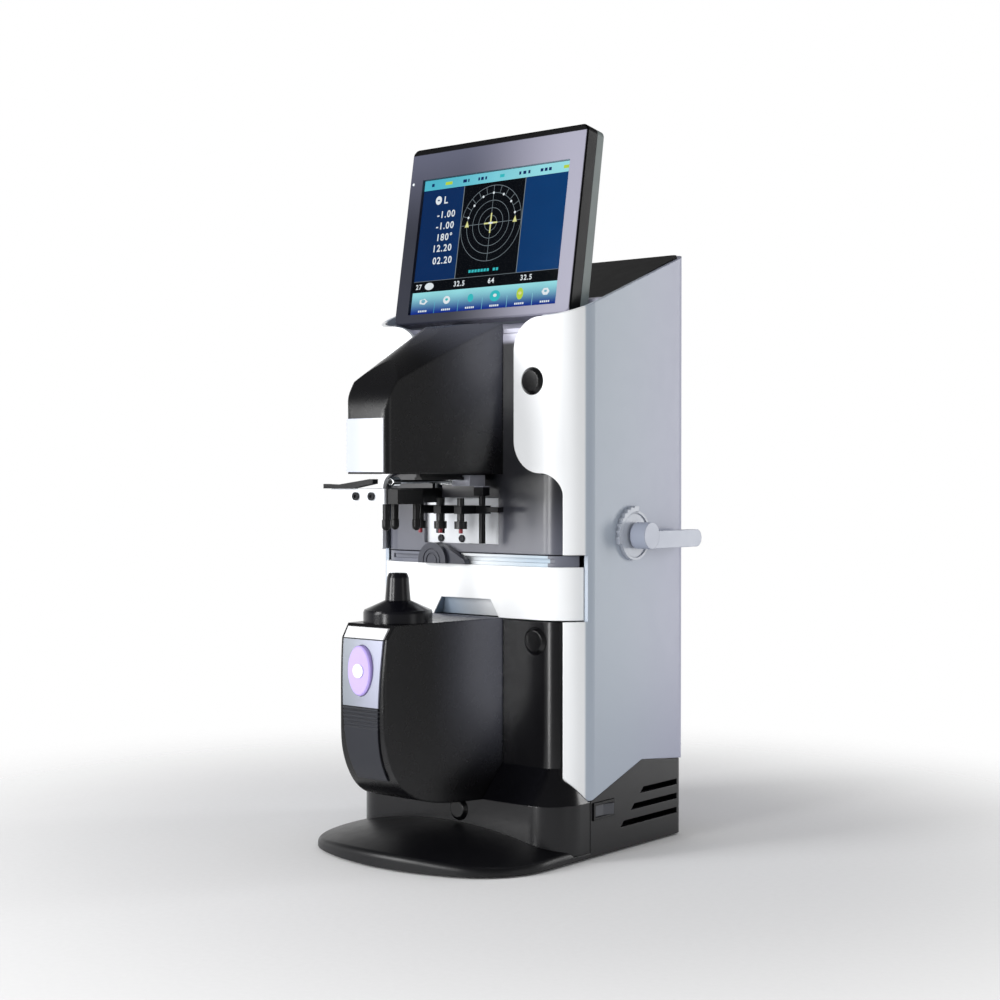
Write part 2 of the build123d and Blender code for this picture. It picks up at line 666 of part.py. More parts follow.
def rack_and_gear():
    m = gear_module
    r = m * gear_teeth / 2
    alpha = radians(20)
    backlash = 0.12
    pitch_z = shaft_z - r
    step = pi * m
    teeth = 11
    first = shaft_y - step * 1.0
    last = first + step * teeth
    bar = block((gear_x - gear_width / 2, gear_x + gear_width / 2), (12.0, last + 4), (pitch_z - 1.25 * m - 7, pitch_z - 1.25 * m))
    tooth_half = step / 4 - backlash / 2
    for i in range(teeth):
        y = first + step * i
        foot = tooth_half + 1.25 * m * tan(alpha)
        tip = tooth_half - m * tan(alpha)
        points = [(y - foot, pitch_z - 1.25 * m), (y - tip, pitch_z + m), (y + tip, pitch_z + m), (y + foot, pitch_z - 1.25 * m)]
        bar += side_prism(points, gear_x - gear_width / 2, gear_x + gear_width / 2)
    nodes["table_rack"] = bar

    def flank(angle, radius):
        return (radius * cos(angle), radius * sin(angle))

    def involute(radius):
        ratio = r * cos(alpha) / radius
        ratio = min(1.0, ratio)
        return sqrt(1 / ratio ** 2 - 1) - atan2(sqrt(1 - ratio ** 2), ratio)

    base_inv = tan(alpha) - alpha
    half_pitch_angle = (step / 4 - backlash / 2) / r
    radii = [r - 1.25 * m, r - 0.5 * m, r, r + 0.5 * m, r + m]

    def tooth(middle):
        left = []
        right = []
        for radius in radii:
            shrink = involute(max(radius, r * cos(alpha))) - base_inv
            half_angle = half_pitch_angle - shrink
            right.append(flank(middle - half_angle, radius))
            left.append(flank(middle + half_angle, radius))
        return make_face(Polyline(*right, *reversed(left), close=True))

    root = r - 1.25 * m
    start, end = -116.0, 16.0
    sector = Circle(root + 0.05) & make_face(Polyline(
        (0, 0), *[(60 * cos(radians(a)), 60 * sin(radians(a))) for a in (start, -83, -50, -17, end)], close=True))
    disc = Circle(9)
    face = sector + disc
    window = Pos(18 * cos(radians(-50)), 18 * sin(radians(-50))) * Rot(0, 0, 40) * SlotOverall(16, 6)
    face -= window
    pitch_deg = 360 / gear_teeth
    count = int((end - start) / pitch_deg) - 1
    for i in range(count):
        middle = radians(-90 + pitch_deg / 2 + pitch_deg * (i - 2))
        face += tooth(middle)
    face -= Circle(rod_r)
    gear = extrude(Plane.YZ.offset(gear_x - gear_width / 2) * face, gear_width)
    nodes["sector_gear"] = Pos(0, shaft_y, shaft_z) * gear


def lever():
    shaft = rod_along_x(shaft_y, shaft_z, gear_x - 7, body_half + 12, rod_r)
    nodes["lever_shaft"] = shaft
    bearing = block((gear_x + 8, gear_x + 18), (shaft_y - 8, shaft_y + 8), (165, shaft_z + 9))
    bearing -= rod_along_x(shaft_y, shaft_z, gear_x, gear_x + 25, rod_r + running)
    nodes["shaft_bearing"] = bearing
    hub = rod_along_x(shaft_y, shaft_z, body_half + 4, body_half + 16, 9.0) - rod_along_x(shaft_y, shaft_z, body_half, body_half + 12, rod_r)
    face = Pos(shaft_y + 31, shaft_z - 3) * SlotOverall(66, 12)
    bar = extrude(Plane.YZ.offset(body_half + 7.5) * face, 6.5)
    bar -= rod_along_x(shaft_y, shaft_z, body_half, body_half + 18, 8.9)
    lever_arm = hub + bar
    nodes["side_lever"] = lever_arm
    inner = body_half - 2
    outer_end = body_half + 7
    dial = rod_along_x(shaft_y, shaft_z, body_half, body_half + 2.0, 15.5)
    outer = rod_along_x(shaft_y, shaft_z, body_half, body_half + 3.4, 20.0) - rod_along_x(shaft_y, shaft_z, inner, outer_end, 16.0)
    wedge = side_prism([(shaft_y, shaft_z), (shaft_y + 6, shaft_z + 40), (shaft_y - 40, shaft_z + 40), (shaft_y - 40, shaft_z - 12)], inner, outer_end)
    dial += outer & wedge
    dial += (rod_along_x(shaft_y, shaft_z, body_half, body_half + 2.8, 17.0) - rod_along_x(shaft_y, shaft_z, inner, outer_end, 15.0))
    for i in range(7):
        a = radians(100 + i * 13)
        dial -= rod_along_x(shaft_y + 20.4 * cos(a), shaft_z + 20.4 * sin(a), inner, outer_end, 1.4)
    dial -= rod_along_x(shaft_y, shaft_z, inner, outer_end, rod_r + 0.5)
    nodes["lever_dial"] = dial


# Lens retainer

def retainer():
    x = retainer_x
    low, high = retainer_low, retainer_high
    y = retainer_plate_y
    arm = block((x - 2.5, x + 2.5), (y, 4.0), (low, high))
    plate = block((x - 17, 3), (y - 2.0, y), (low, high))
    nodes["retainer_plate"] = plate
    prongs = block((-13, 13), (y, y + 7), (low, high - 0.5))
    for side in (1, -1):
        x0, x1 = sorted((side * 6.4, side * 12.6))
        prongs += block((x0, x1), (y + 7, y + 24.5), (low, high - 0.5))
    nodes["retainer_fork"] = prongs
    pins = []
    tip_r = retainer_pin_r + 0.4
    for px, py in ((0, y + 3), (-prong_x, y + 21.5), (prong_x, y + 21.5)):
        pin = rod_along_z(px, py, retainer_tip + 6, low, retainer_pin_r)
        pin += rod_along_z(px, py, retainer_tip + tip_r, retainer_tip + 7, tip_r)
        pins.append(pin + Pos(px, py, retainer_tip + tip_r) * Sphere(tip_r))
    nodes["retainer_pins"] = Part() + pins
    grip = front_prism([(-50, high), (-50, high + 3.0), (-36, high + 2.6), (-8, high + 6.2), (-5, high + 6.2),
                        (-5, high + 3.2), (-24, high)], y - 4.5, y + 0.5)
    nodes["retainer_lever"] = grip
    slide = block((x - 7, x + 7), (4.0, 16.0), (low - 4, high + 2))
    nodes["retainer_arm"] = arm + slide - rod_along_z(x, 10, 200, 260, post_r + running)
    nodes["retainer_post"] = rod_along_z(x, 10, slot_high + wall, 262, post_r)


# Marking unit

def marking_unit():
    rail_x = marking_rail_x
    top = head_low - 0.6
    carriage = block((rail_x - 7, rail_x + 8), (pen_y + 2, post_y + 3), (pull_z - 3, top))
    carriage -= marking_rail(running + 0.03, -200, 50)
    carriage += block((rail_x + 4, rail_x + 12), (post_y - 4, post_y + 3), (240, pull_z - 3))
    carriage += rod_along_z(post_x, post_y, pen_bar_low - pen_stroke, 240, marking_post_r)
    nodes["marking_carriage"] = carriage
    pull = rod_along_y(0, pull_z, axis_y, pen_y + 6, 1.2)
    pull += block((-2, rail_x - 7), (pen_y + 2, pen_y + 6), (pull_z - 2, pull_z + 2))
    knob = rod_along_y(0, pull_z, axis_y - 7, axis_y, 3.0)
    nodes["marking_pull_rod"] = pull + fillet(knob.edges().sort_by(Axis.Y)[0], 1.0)
    bar = block((-pen_pitch - 3.2, post_x + 5), (post_y - 3, post_y + 3), (pen_bar_low, pen_bar_high))
    for x in (-pen_pitch, 0, pen_pitch):
        bar += block((x - 3.2, x + 3.2), (pen_y - 3.2, post_y - 3), (pen_bar_low, pen_bar_high))
    bar += block((post_x + 5, post_x + 16), (post_y - 3, post_y + 3), (pen_bar_low + 1, pen_bar_high - 1))
    bar -= rod_along_z(post_x, post_y, 200, 250, marking_post_r + running)
    pens = []
    for x in (-pen_pitch, 0, pen_pitch):
        bar -= rod_along_z(x, pen_y, 200, 250, pen_r)
        pen = rod_along_z(x, pen_y, pen_tip + 3, pen_bar_high + 5, pen_r)
        pen += rod_along_z(x, pen_y, pen_tip + 3, pen_tip + 8, 4.3)
        pens.append(pen + rod_along_z(x, pen_y, pen_tip, pen_tip + 3, 1.4))
    nodes["pen_holder"] = bar
    nodes["marking_pens"] = Part() + pens


# Power rocker

def power_switch():
    half = body_half - 0.3
    y0, y1, z0, z1 = rocker_y0 + 0.2, rocker_y1 - 0.2, rocker_z0 + 0.2, rocker_z1 - 0.2
    rim = 1.8
    frame = block((half - 18, half + 1.0), (y0, y1), (z0, z1))
    frame -= block((half - 12, half + 2), (y0 + rim, y1 - rim), (z0 + rim, z1 - rim))
    axle_x = half - 1.2
    middle = (y0 + y1) / 2
    frame -= rod_along_z(axle_x, middle, z0 + 0.8, z1 - 0.8, rocker_pin_r + running)
    nodes["switch_housing"] = frame
    # The rocker's ends stay on a circle round its axle, so that it clears the frame at every angle.
    reach = (y1 - y0) / 2 - rim - 0.4
    high = 2.2
    far = sqrt(reach ** 2 - high ** 2)
    face = make_face(Polyline((1.2, 0), (high, far), (-1.0, far), (-4.0, 3.0), (-4.0, -3.0), (-1.0, -far), (high, -far), close=True))
    face = Pos(axle_x, middle) * Rot(0, 0, -rocker_turn / 2) * face
    rocker = upright(face, z0 + rim + 0.3, z1 - rim - 0.3)
    nodes["power_rocker"] = rocker + rod_along_z(axle_x, middle, z0 + 1.0, z1 - 1.0, rocker_pin_r)


# Display

def display():
    width = lcd_w + 2 * bezel_side
    height = lcd_h + bezel_low + bezel_high
    place = Pos(0, display_low_y, display_low_z) * Rot(-display_lean, 0, 0)

    # Local frame: X across, Z up the front face, +Y backwards.
    frame = block((-width / 2, width / 2), (0, frame_deep), (0, height))
    frame = fillet(frame.edges().filter_by(Axis.Y), housing_r)
    front_edges = frame.edges().filter_by(lambda e: abs(e.center().Y) < 0.01)
    frame = chamfer(front_edges, 1.0)
    frame -= block((-lcd_w / 2, lcd_w / 2), (-1, 12), (bezel_low, bezel_low + lcd_h))
    frame -= block((-width / 2 + 3, width / 2 - 3), (2.5, 12), (3, height - 3))
    nodes["display_frame"] = place * frame
    nodes["touch_glass"] = place * block((-lcd_w / 2 + 0.1, lcd_w / 2 - 0.1), (1.0, 2.4), (bezel_low + 0.1, bezel_low + lcd_h - 0.1))
    nodes["lcd_panel"] = place * block((-lcd_w / 2 - 4, lcd_w / 2 + 4), (2.5, 7.5), (bezel_low - 3.5, bezel_low + lcd_h + 4))
    wedge = [(frame_deep, 0), (display_deep_low, 1.5), (display_deep_high, height), (frame_deep, height)]
    rear = side_prism(wedge, -width / 2, width / 2)
    outline = Pos(0, 0, height / 2) * Box(width, 80, height)
    rear &= fillet(outline.edges().filter_by(Axis.Y), housing_r)
    rear = chamfer(rear.faces().sort_by(Axis.Y)[-1].edges(), 2.5)
    hollow = [(frame_deep - 1, 3), (display_deep_low - 3, 4), (display_deep_high - 3, height - 5), (frame_deep - 1, height - 5)]
    rear -= side_prism(hollow, -width / 2 + 3, width / 2 - 3)
    for x in (-hinge_x, hinge_x):
        for side in (-5.0, 2.2):
            lug = side_prism([(display_deep_low - 1.5, hinge_up - 8), (hinge_behind, hinge_up - 5), (hinge_behind + 4, hinge_up),
                              (hinge_behind, hinge_up + 5), (display_deep_low - 1.5, hinge_up + 12)], x + side, x + side + 2.8)
            lug -= rod_along_x(hinge_behind, hinge_up, x - 10, x + 10, hinge_pin_r + running)
            rear += lug
    for row in range(8):
        z = 78 + row * 5
        rear -= block((-40, 40), (8, 30), (z, z + 2))
    nodes["display_rear_shell"] = place * rear
    pins = [rod_along_x(pivot_y, pivot_z, x - 6.5, x + 6.5, hinge_pin_r) for x in (-hinge_x, hinge_x)]
    nodes["hinge_pins"] = Part() + pins


def hinge_ears():
    """Two ears on the chassis that hold the display's hinge pins."""
    ears = []
    for x in (-hinge_x, hinge_x):
        line = [(pivot_y - 3, 342), (pivot_y + 16, 342), (pivot_y + 5, pivot_z + 2), (pivot_y, pivot_z + 5), (pivot_y - 5, pivot_z)]
        ears.append(side_prism(line, x - 2.0, x + 2.0) - rod_along_x(pivot_y, pivot_z, x - 5, x + 5, hinge_pin_r))
    return ears


side_covers()
rear_screws = rear_cover()
top_cover()
upper_front_cover()
bay_screws = bay_plate()
nodes["cover_screws"] = Part() + rear_screws + bay_screws
lower_front_cover()
base_apron()
base_housing()
screw_plugs()
chassis()
inner_units()
head()
lower_nose()
measure_button()
nosepiece()
lens_table()
pd_slider()
rack_and_gear()
lever()
retainer()
marking_unit()
power_switch()
display()

# The origin is the middle of the whole part's box, on the plane that the feet stand on.
boxes = [shape.bounding_box() for shape in nodes.values()]
middle_x = (min(box.min.X for box in boxes) + max(box.max.X for box in boxes)) / 2
middle_y = (min(box.min.Y for box in boxes) + max(box.max.Y for box in boxes)) / 2
for name, shape in nodes.items():
    export_step(Pos(-middle_x, -middle_y, 0) * shape, f"parts/{name}.step")
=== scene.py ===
import math
from collections import namedtuple

import bpy
import bmesh
from bpy.props import FloatProperty, FloatVectorProperty, IntProperty, PointerProperty
from mathutils import Matrix, Vector


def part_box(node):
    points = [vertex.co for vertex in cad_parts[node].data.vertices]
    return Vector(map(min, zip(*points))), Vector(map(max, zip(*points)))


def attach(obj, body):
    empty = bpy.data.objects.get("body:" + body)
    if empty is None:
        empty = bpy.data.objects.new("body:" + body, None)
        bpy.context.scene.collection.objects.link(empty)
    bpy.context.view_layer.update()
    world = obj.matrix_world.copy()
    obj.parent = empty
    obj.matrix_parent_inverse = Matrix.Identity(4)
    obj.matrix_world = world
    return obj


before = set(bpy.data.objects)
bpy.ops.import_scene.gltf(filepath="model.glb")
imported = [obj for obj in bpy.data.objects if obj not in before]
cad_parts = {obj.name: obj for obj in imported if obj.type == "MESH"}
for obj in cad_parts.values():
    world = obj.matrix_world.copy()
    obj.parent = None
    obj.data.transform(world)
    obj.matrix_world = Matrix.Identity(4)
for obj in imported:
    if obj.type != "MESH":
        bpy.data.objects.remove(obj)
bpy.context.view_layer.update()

bl_info = {
    "name": "Auto lensmeter looks",
    "version": (1, 0, 0),
    "blender": (4, 5, 0),
    "location": "3D View > Sidebar > Lensmeter",
    "description": "Finishes, screen and small parts of a desk lensmeter, and its studio",
    "category": "Object",
}

MM = 0.001
UPRIGHT = Matrix.Rotation(math.pi / 2, 4, "X")
DISPLAY_LEAN = math.radians(9.5)

# The camera of the photograph, fitted to it: metres, degrees and millimetres of lens. It looks along
# AWAY, but for a small tilt.
CAMERA_SPOT = (0.7597, -0.9090, 0.2523)
CAMERA_TURN = 39.5
CAMERA_TILT = -0.75
CAMERA_LENS = 62.1
CAMERA_SENSOR = 36.0
AWAY = (-0.636, 0.772, 0)

# How coarse the slow drift of a colour and the haze of a gloss are, in millimetres.
DRIFT_MM = 35
HAZE_MM = 9

# The lit screen, in millimetres: X from its middle, Z up from its low edge and Y into the display.
SCREEN_HALF = 66.1
SCREEN_HIGH = 99.2
TOP_BAR = 7.5
KEY_ROW = 16.4
VALUE_STRIP = 8.2
TARGET_LOW = KEY_ROW + VALUE_STRIP
TARGET_HALF = 27.7
TARGET_MIDDLE = TARGET_LOW + 37.5
BACK_LAYER = 1.475
MIDDLE_LAYER = 1.455
FRONT_LAYER = 1.435

Made = namedtuple("Made", "material tree shader place")


# Shared helpers

def linear(code):
    """An sRGB hex colour as the linear numbers that shaders take."""
    parts = [int(code[i:i + 2], 16) / 255 for i in (1, 3, 5)]
    return tuple(c / 12.92 if c <= 0.04045 else ((c + 0.055) / 1.055) ** 2.4 for c in parts) + (1.0,)


def add(tree, kind, settings=(), links=()):
    """Adds one node. Settings name its attributes or inputs, and links name its inputs."""
    made = tree.nodes.new(kind)
    for key, value in dict(settings).items():
        if isinstance(key, int) or key in made.inputs:
            made.inputs[key].default_value = value
        else:
            setattr(made, key, value)
    for key, socket in dict(links).items():
        tree.links.new(socket, made.inputs[key])
    return made


def new_material(name):
    """A material with its tree, its shader and the object's own coordinates."""
    material = bpy.data.materials.new(name)
    material.use_nodes = True
    tree = material.node_tree
    place = add(tree, "ShaderNodeTexCoord").outputs["Object"]
    return Made(material, tree, tree.nodes["Principled BSDF"], place)


def surface(made, colour, roughness, drift, spread, grain_mm, relief_mm, edge_mm, flare=None):
    """Lays a finish: a colour that drifts by a share of itself, a gloss that is uneven by a spread,
    a fine relief and softened edges. Where the flare mask is 1, the surface shades as if it swept
    out towards the back. Returns the colour."""
    tree, shader, place = made.tree, made.shader, made.place
    low = tuple(c * (1 - drift) for c in colour[:3]) + (1.0,)
    high = tuple(min(1.0, c * (1 + drift)) for c in colour[:3]) + (1.0,)
    slow = add(tree, "ShaderNodeTexNoise", {"Scale": 1 / (DRIFT_MM * MM), "Detail": 2.0}, {"Vector": place})
    tone = add(tree, "ShaderNodeMix", {"data_type": "RGBA", 6: low, 7: high}, {0: slow.outputs["Fac"]})
    haze = add(tree, "ShaderNodeTexNoise", {"Scale": 1 / (HAZE_MM * MM), "Detail": 4.0}, {"Vector": place})
    gloss = add(tree, "ShaderNodeMapRange", {"To Min": roughness - spread, "To Max": roughness + spread},
                {"Value": haze.outputs["Fac"]})
    grain = add(tree, "ShaderNodeTexNoise", {"Scale": 1 / (grain_mm * MM), "Detail": 3.0}, {"Vector": place})
    edge = add(tree, "ShaderNodeBevel", {"samples": 4, "Radius": edge_mm * MM})
    normal = edge.outputs["Normal"]
    if flare:
        sweep = add(tree, "ShaderNodeVectorMath", {"operation": "SCALE", 0: (0, -0.4, 0)}, {"Scale": flare})
        bent = add(tree, "ShaderNodeVectorMath", {"operation": "ADD"}, {0: normal, 1: sweep.outputs[0]})
        swept = add(tree, "ShaderNodeVectorMath", {"operation": "NORMALIZE"}, {0: bent.outputs[0]})
        normal = swept.outputs[0]
    relief = add(tree, "ShaderNodeBump", {"Strength": 1.0, "Distance": relief_mm * MM},
                 {"Height": grain.outputs["Fac"], "Normal": normal})
    tree.links.new(tone.outputs[2], shader.inputs["Base Color"])
    tree.links.new(gloss.outputs[0], shader.inputs["Roughness"])
    tree.links.new(relief.outputs[0], shader.inputs["Normal"])
    return tone.outputs[2]


def along(made, axis, start, end):
    """A mask that goes softly from 0 at start to 1 at end, along one axis of the object."""
    parts = add(made.tree, "ShaderNodeSeparateXYZ", (), {0: made.place})
    return add(made.tree, "ShaderNodeMapRange",
               {"interpolation_type": "SMOOTHSTEP", "From Min": start, "From Max": end},
               {"Value": parts.outputs[axis]}).outputs[0]


def painted(made, tone, mask, colour):
    """Another colour laid over the finish where the mask is 1. Returns the new colour."""
    both = add(made.tree, "ShaderNodeMix", {"data_type": "RGBA", 7: linear(colour)}, {0: mask, 6: tone})
    made.tree.links.new(both.outputs[2], made.shader.inputs["Base Color"])
    return both.outputs[2]


def set_shader(made, **values):
    """Sets constants on the shader's own sockets, whose names have spaces here as underscores."""
    for key, value in values.items():
        made.shader.inputs[key.replace("_", " ")].default_value = value


def finished(name, colour, roughness, drift, spread=0.05, grain_mm=0.5, relief_mm=0.004, edge_mm=0.5,
             metallic=0.0, shine=0.5):
    """A finish of one colour all over."""
    made = new_material(name)
    surface(made, linear(colour), roughness, drift, spread, grain_mm, relief_mm, edge_mm)
    set_shader(made, Metallic=metallic, Specular_IOR_Level=shine)
    return made.material


def glow(name, colour, other=None, axis="Z", start=0.0, end=1.0):
    """A lit part of the screen: it shows its own colour whatever the room light is. With a second
    colour, it fades from the first to the second along one axis of the object."""
    made = new_material(name)
    tree = made.tree
    cloud = add(tree, "ShaderNodeTexNoise", {"Scale": 1 / (14 * MM), "Detail": 1.0}, {"Vector": made.place})
    shade = add(tree, "ShaderNodeMapRange", {"To Min": 0.92, "To Max": 1.08}, {"Value": cloud.outputs["Fac"]})
    fade = add(tree, "ShaderNodeMix", {"data_type": "RGBA", 6: linear(colour), 7: linear(other or colour)},
               {0: along(made, axis, start, end)})
    lit = add(tree, "ShaderNodeVectorMath", {"operation": "SCALE"},
              {0: fade.outputs[2], "Scale": shade.outputs[0]})
    tree.links.new(lit.outputs[0], made.shader.inputs["Emission Color"])
    set_shader(made, Base_Color=(0, 0, 0, 1), Roughness=0.3, Specular_IOR_Level=0.0, Emission_Strength=1.0)
    return made.material


def clear(made, grain_mm, detail, smooth, rough):
    """Gives a clear material a gloss that varies like dust or smears on it."""
    film = add(made.tree, "ShaderNodeTexNoise", {"Scale": 1 / (grain_mm * MM), "Detail": detail},
               {"Vector": made.place})
    gloss = add(made.tree, "ShaderNodeMapRange", {"To Min": smooth, "To Max": rough},
                {"Value": film.outputs["Fac"]})
    made.tree.links.new(gloss.outputs[0], made.shader.inputs["Roughness"])


def dress(material, *names):
    """Gives CAD nodes their finish."""
    for name in names:
        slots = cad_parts[name].data.materials
        slots.clear()
        slots.append(material)


def piece(name, mesh, body, materials):
    """Puts a finished mesh in the scene as one piece that rides on a body."""
    made = bpy.data.objects.new(name, mesh)
    bpy.context.scene.collection.objects.link(made)
    for material in materials:
        made.data.materials.append(material)
    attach(made, body)


def mesh_of(name, bm, smooth=True):
    """The finished mesh of a form under construction."""
    mesh = bpy.data.meshes.new(name)
    bmesh.ops.recalc_face_normals(bm, faces=bm.faces)
    bm.to_mesh(mesh)
    bm.free()
    mesh.polygons.foreach_set("use_smooth", [smooth] * len(mesh.polygons))
    return mesh


def turned(name, line, segments, place):
    """A closed turned form from (radius, height) points in millimetres, moved to its place."""
    bm = bmesh.new()
    steps = [2 * math.pi * i / segments for i in range(segments)]
    rings = []
    for r, z in line:
        around = [(r * math.cos(a), r * math.sin(a)) for a in steps] if r else [(0, 0)]
        rings.append([bm.verts.new(place @ Vector((x * MM, y * MM, z * MM))) for x, y in around])
    for low, high in zip(rings, rings[1:]):
        for i in range(segments):
            j = (i + 1) % segments
            if len(low) == 1:
                bm.faces.new((low[0], high[i], high[j]))
            elif len(high) == 1:
                bm.faces.new((low[i], low[j], high[0]))
            else:
                bm.faces.new((low[i], low[j], high[j], high[i]))
    return mesh_of(name, bm)


def plain(mesh_object, name):
    """The evaluated shape of an object as a plain mesh, with the object itself removed."""
    graph = bpy.context.evaluated_depsgraph_get()
    mesh = bpy.data.meshes.new_from_object(mesh_object.evaluated_get(graph), depsgraph=graph)
    mesh.name = name
    bpy.data.objects.remove(mesh_object)
    return mesh


def new_tree(name, **inputs):
    """A geometry tree with one named input for each socket type given, and its given values."""
    tree = bpy.data.node_groups.new(name, "GeometryNodeTree")
    for label, kind in inputs.items():
        tree.interface.new_socket(label, in_out="INPUT", socket_type=kind)
    tree.interface.new_socket("Geometry", in_out="OUTPUT", socket_type="NodeSocketGeometry")
    return tree, add(tree, "NodeGroupInput").outputs


def coated(tree, shape, material):
    """Ends a geometry tree: real geometry in its material."""
    real = add(tree, "GeometryNodeRealizeInstances", (), {0: shape})
    dressed = add(tree, "GeometryNodeSetMaterial", {"Material": material}, {0: real.outputs[0]})
    add(tree, "NodeGroupOutput", (), {0: dressed.outputs[0]})
    return tree


def grown(name, tree, **values):
    """Runs a geometry tree with its inputs set by identifier and returns the plain mesh."""
    holder = bpy.data.objects.new(name, bpy.data.meshes.new(name))
    modifier = holder.modifiers.new("shape", "NODES")
    modifier.node_group = tree
    for item in tree.interface.items_tree:
        if item.in_out == "INPUT":
            modifier[item.identifier] = values[item.name]
    bpy.context.scene.collection.objects.link(holder)
    return plain(holder, name)


# Sizes and colours that a user would change

class LensmeterStudio(bpy.types.PropertyGroup):
    key_power: FloatProperty(name="Key light", description="Power of the tall soft light at the left front",
                             default=19.0, min=0, unit="POWER")
    strip_power: FloatProperty(name="Strip light", description="Power of the narrow light in front",
                               default=11.0, min=0, unit="POWER")
    edge_power: FloatProperty(name="Edge light", description="Power of the narrow light at the right back",
                              default=7.5, min=0, unit="POWER")
    fill_power: FloatProperty(name="Fill light", description="Power of the wide soft light at the right",
                              default=1.5, min=0, unit="POWER")
    room_light: FloatProperty(name="Room light", description="Strength of the even light of the room",
                              default=0.44, min=0, max=2)
    ceiling: FloatProperty(name="Ceiling", description="How bright the ceiling looks in reflections",
                           default=0.12, min=0, max=1)
    front_dim: FloatProperty(name="Front of the room", default=0.3, min=0, max=1,
                             description="How bright the room in front looks in reflections")
    floor_reach: FloatProperty(name="Floor reach", default=0.62, min=0.3, unit="LENGTH", subtype="DISTANCE",
                               description="How far the floor shows before it fades to white")


class LensmeterCovers(bpy.types.PropertyGroup):
    front_colour: FloatVectorProperty(name="Front", description="White of the front mouldings", size=4,
                                      subtype="COLOR", default=linear("#F8FAFC"), min=0, max=1)
    # The side's own grey with painted shade in it, as the side is turned from the light.
    side_shade_colour: FloatVectorProperty(name="Side", description="Blue-grey of the side panels", size=4,
                                     subtype="COLOR", default=linear("#AEB7C6"), min=0, max=1)
    side_from: FloatProperty(name="Side starts", description="Depth at which the blue-grey side begins",
                             default=0.8 * MM, unit="LENGTH", subtype="DISTANCE")


class LensmeterScreen(bpy.types.PropertyGroup):
    ring_step: FloatProperty(name="Ring step", description="Distance between the rings of the target",
                             default=5.42 * MM, unit="LENGTH", subtype="DISTANCE")
    ring_count: IntProperty(name="Rings", description="Number of rings of the target",
                            default=5, min=2, max=8)
    tick_step: IntProperty(name="Tick step", description="Angle between the ticks, in degrees",
                           default=15, min=5)
    line_width: FloatProperty(name="Line", description="Width of the drawn lines",
                              default=0.36 * MM, unit="LENGTH", subtype="DISTANCE")


class LensmeterTrim(bpy.types.PropertyGroup):
    screw_radius: FloatProperty(name="Screw head", description="Radius of the retainer's screw heads",
                                default=2.7 * MM, unit="LENGTH", subtype="DISTANCE")
    lamp_radius: FloatProperty(name="Status light", description="Radius of the display's status light",
                               default=1.1 * MM, unit="LENGTH", subtype="DISTANCE")


# Stage

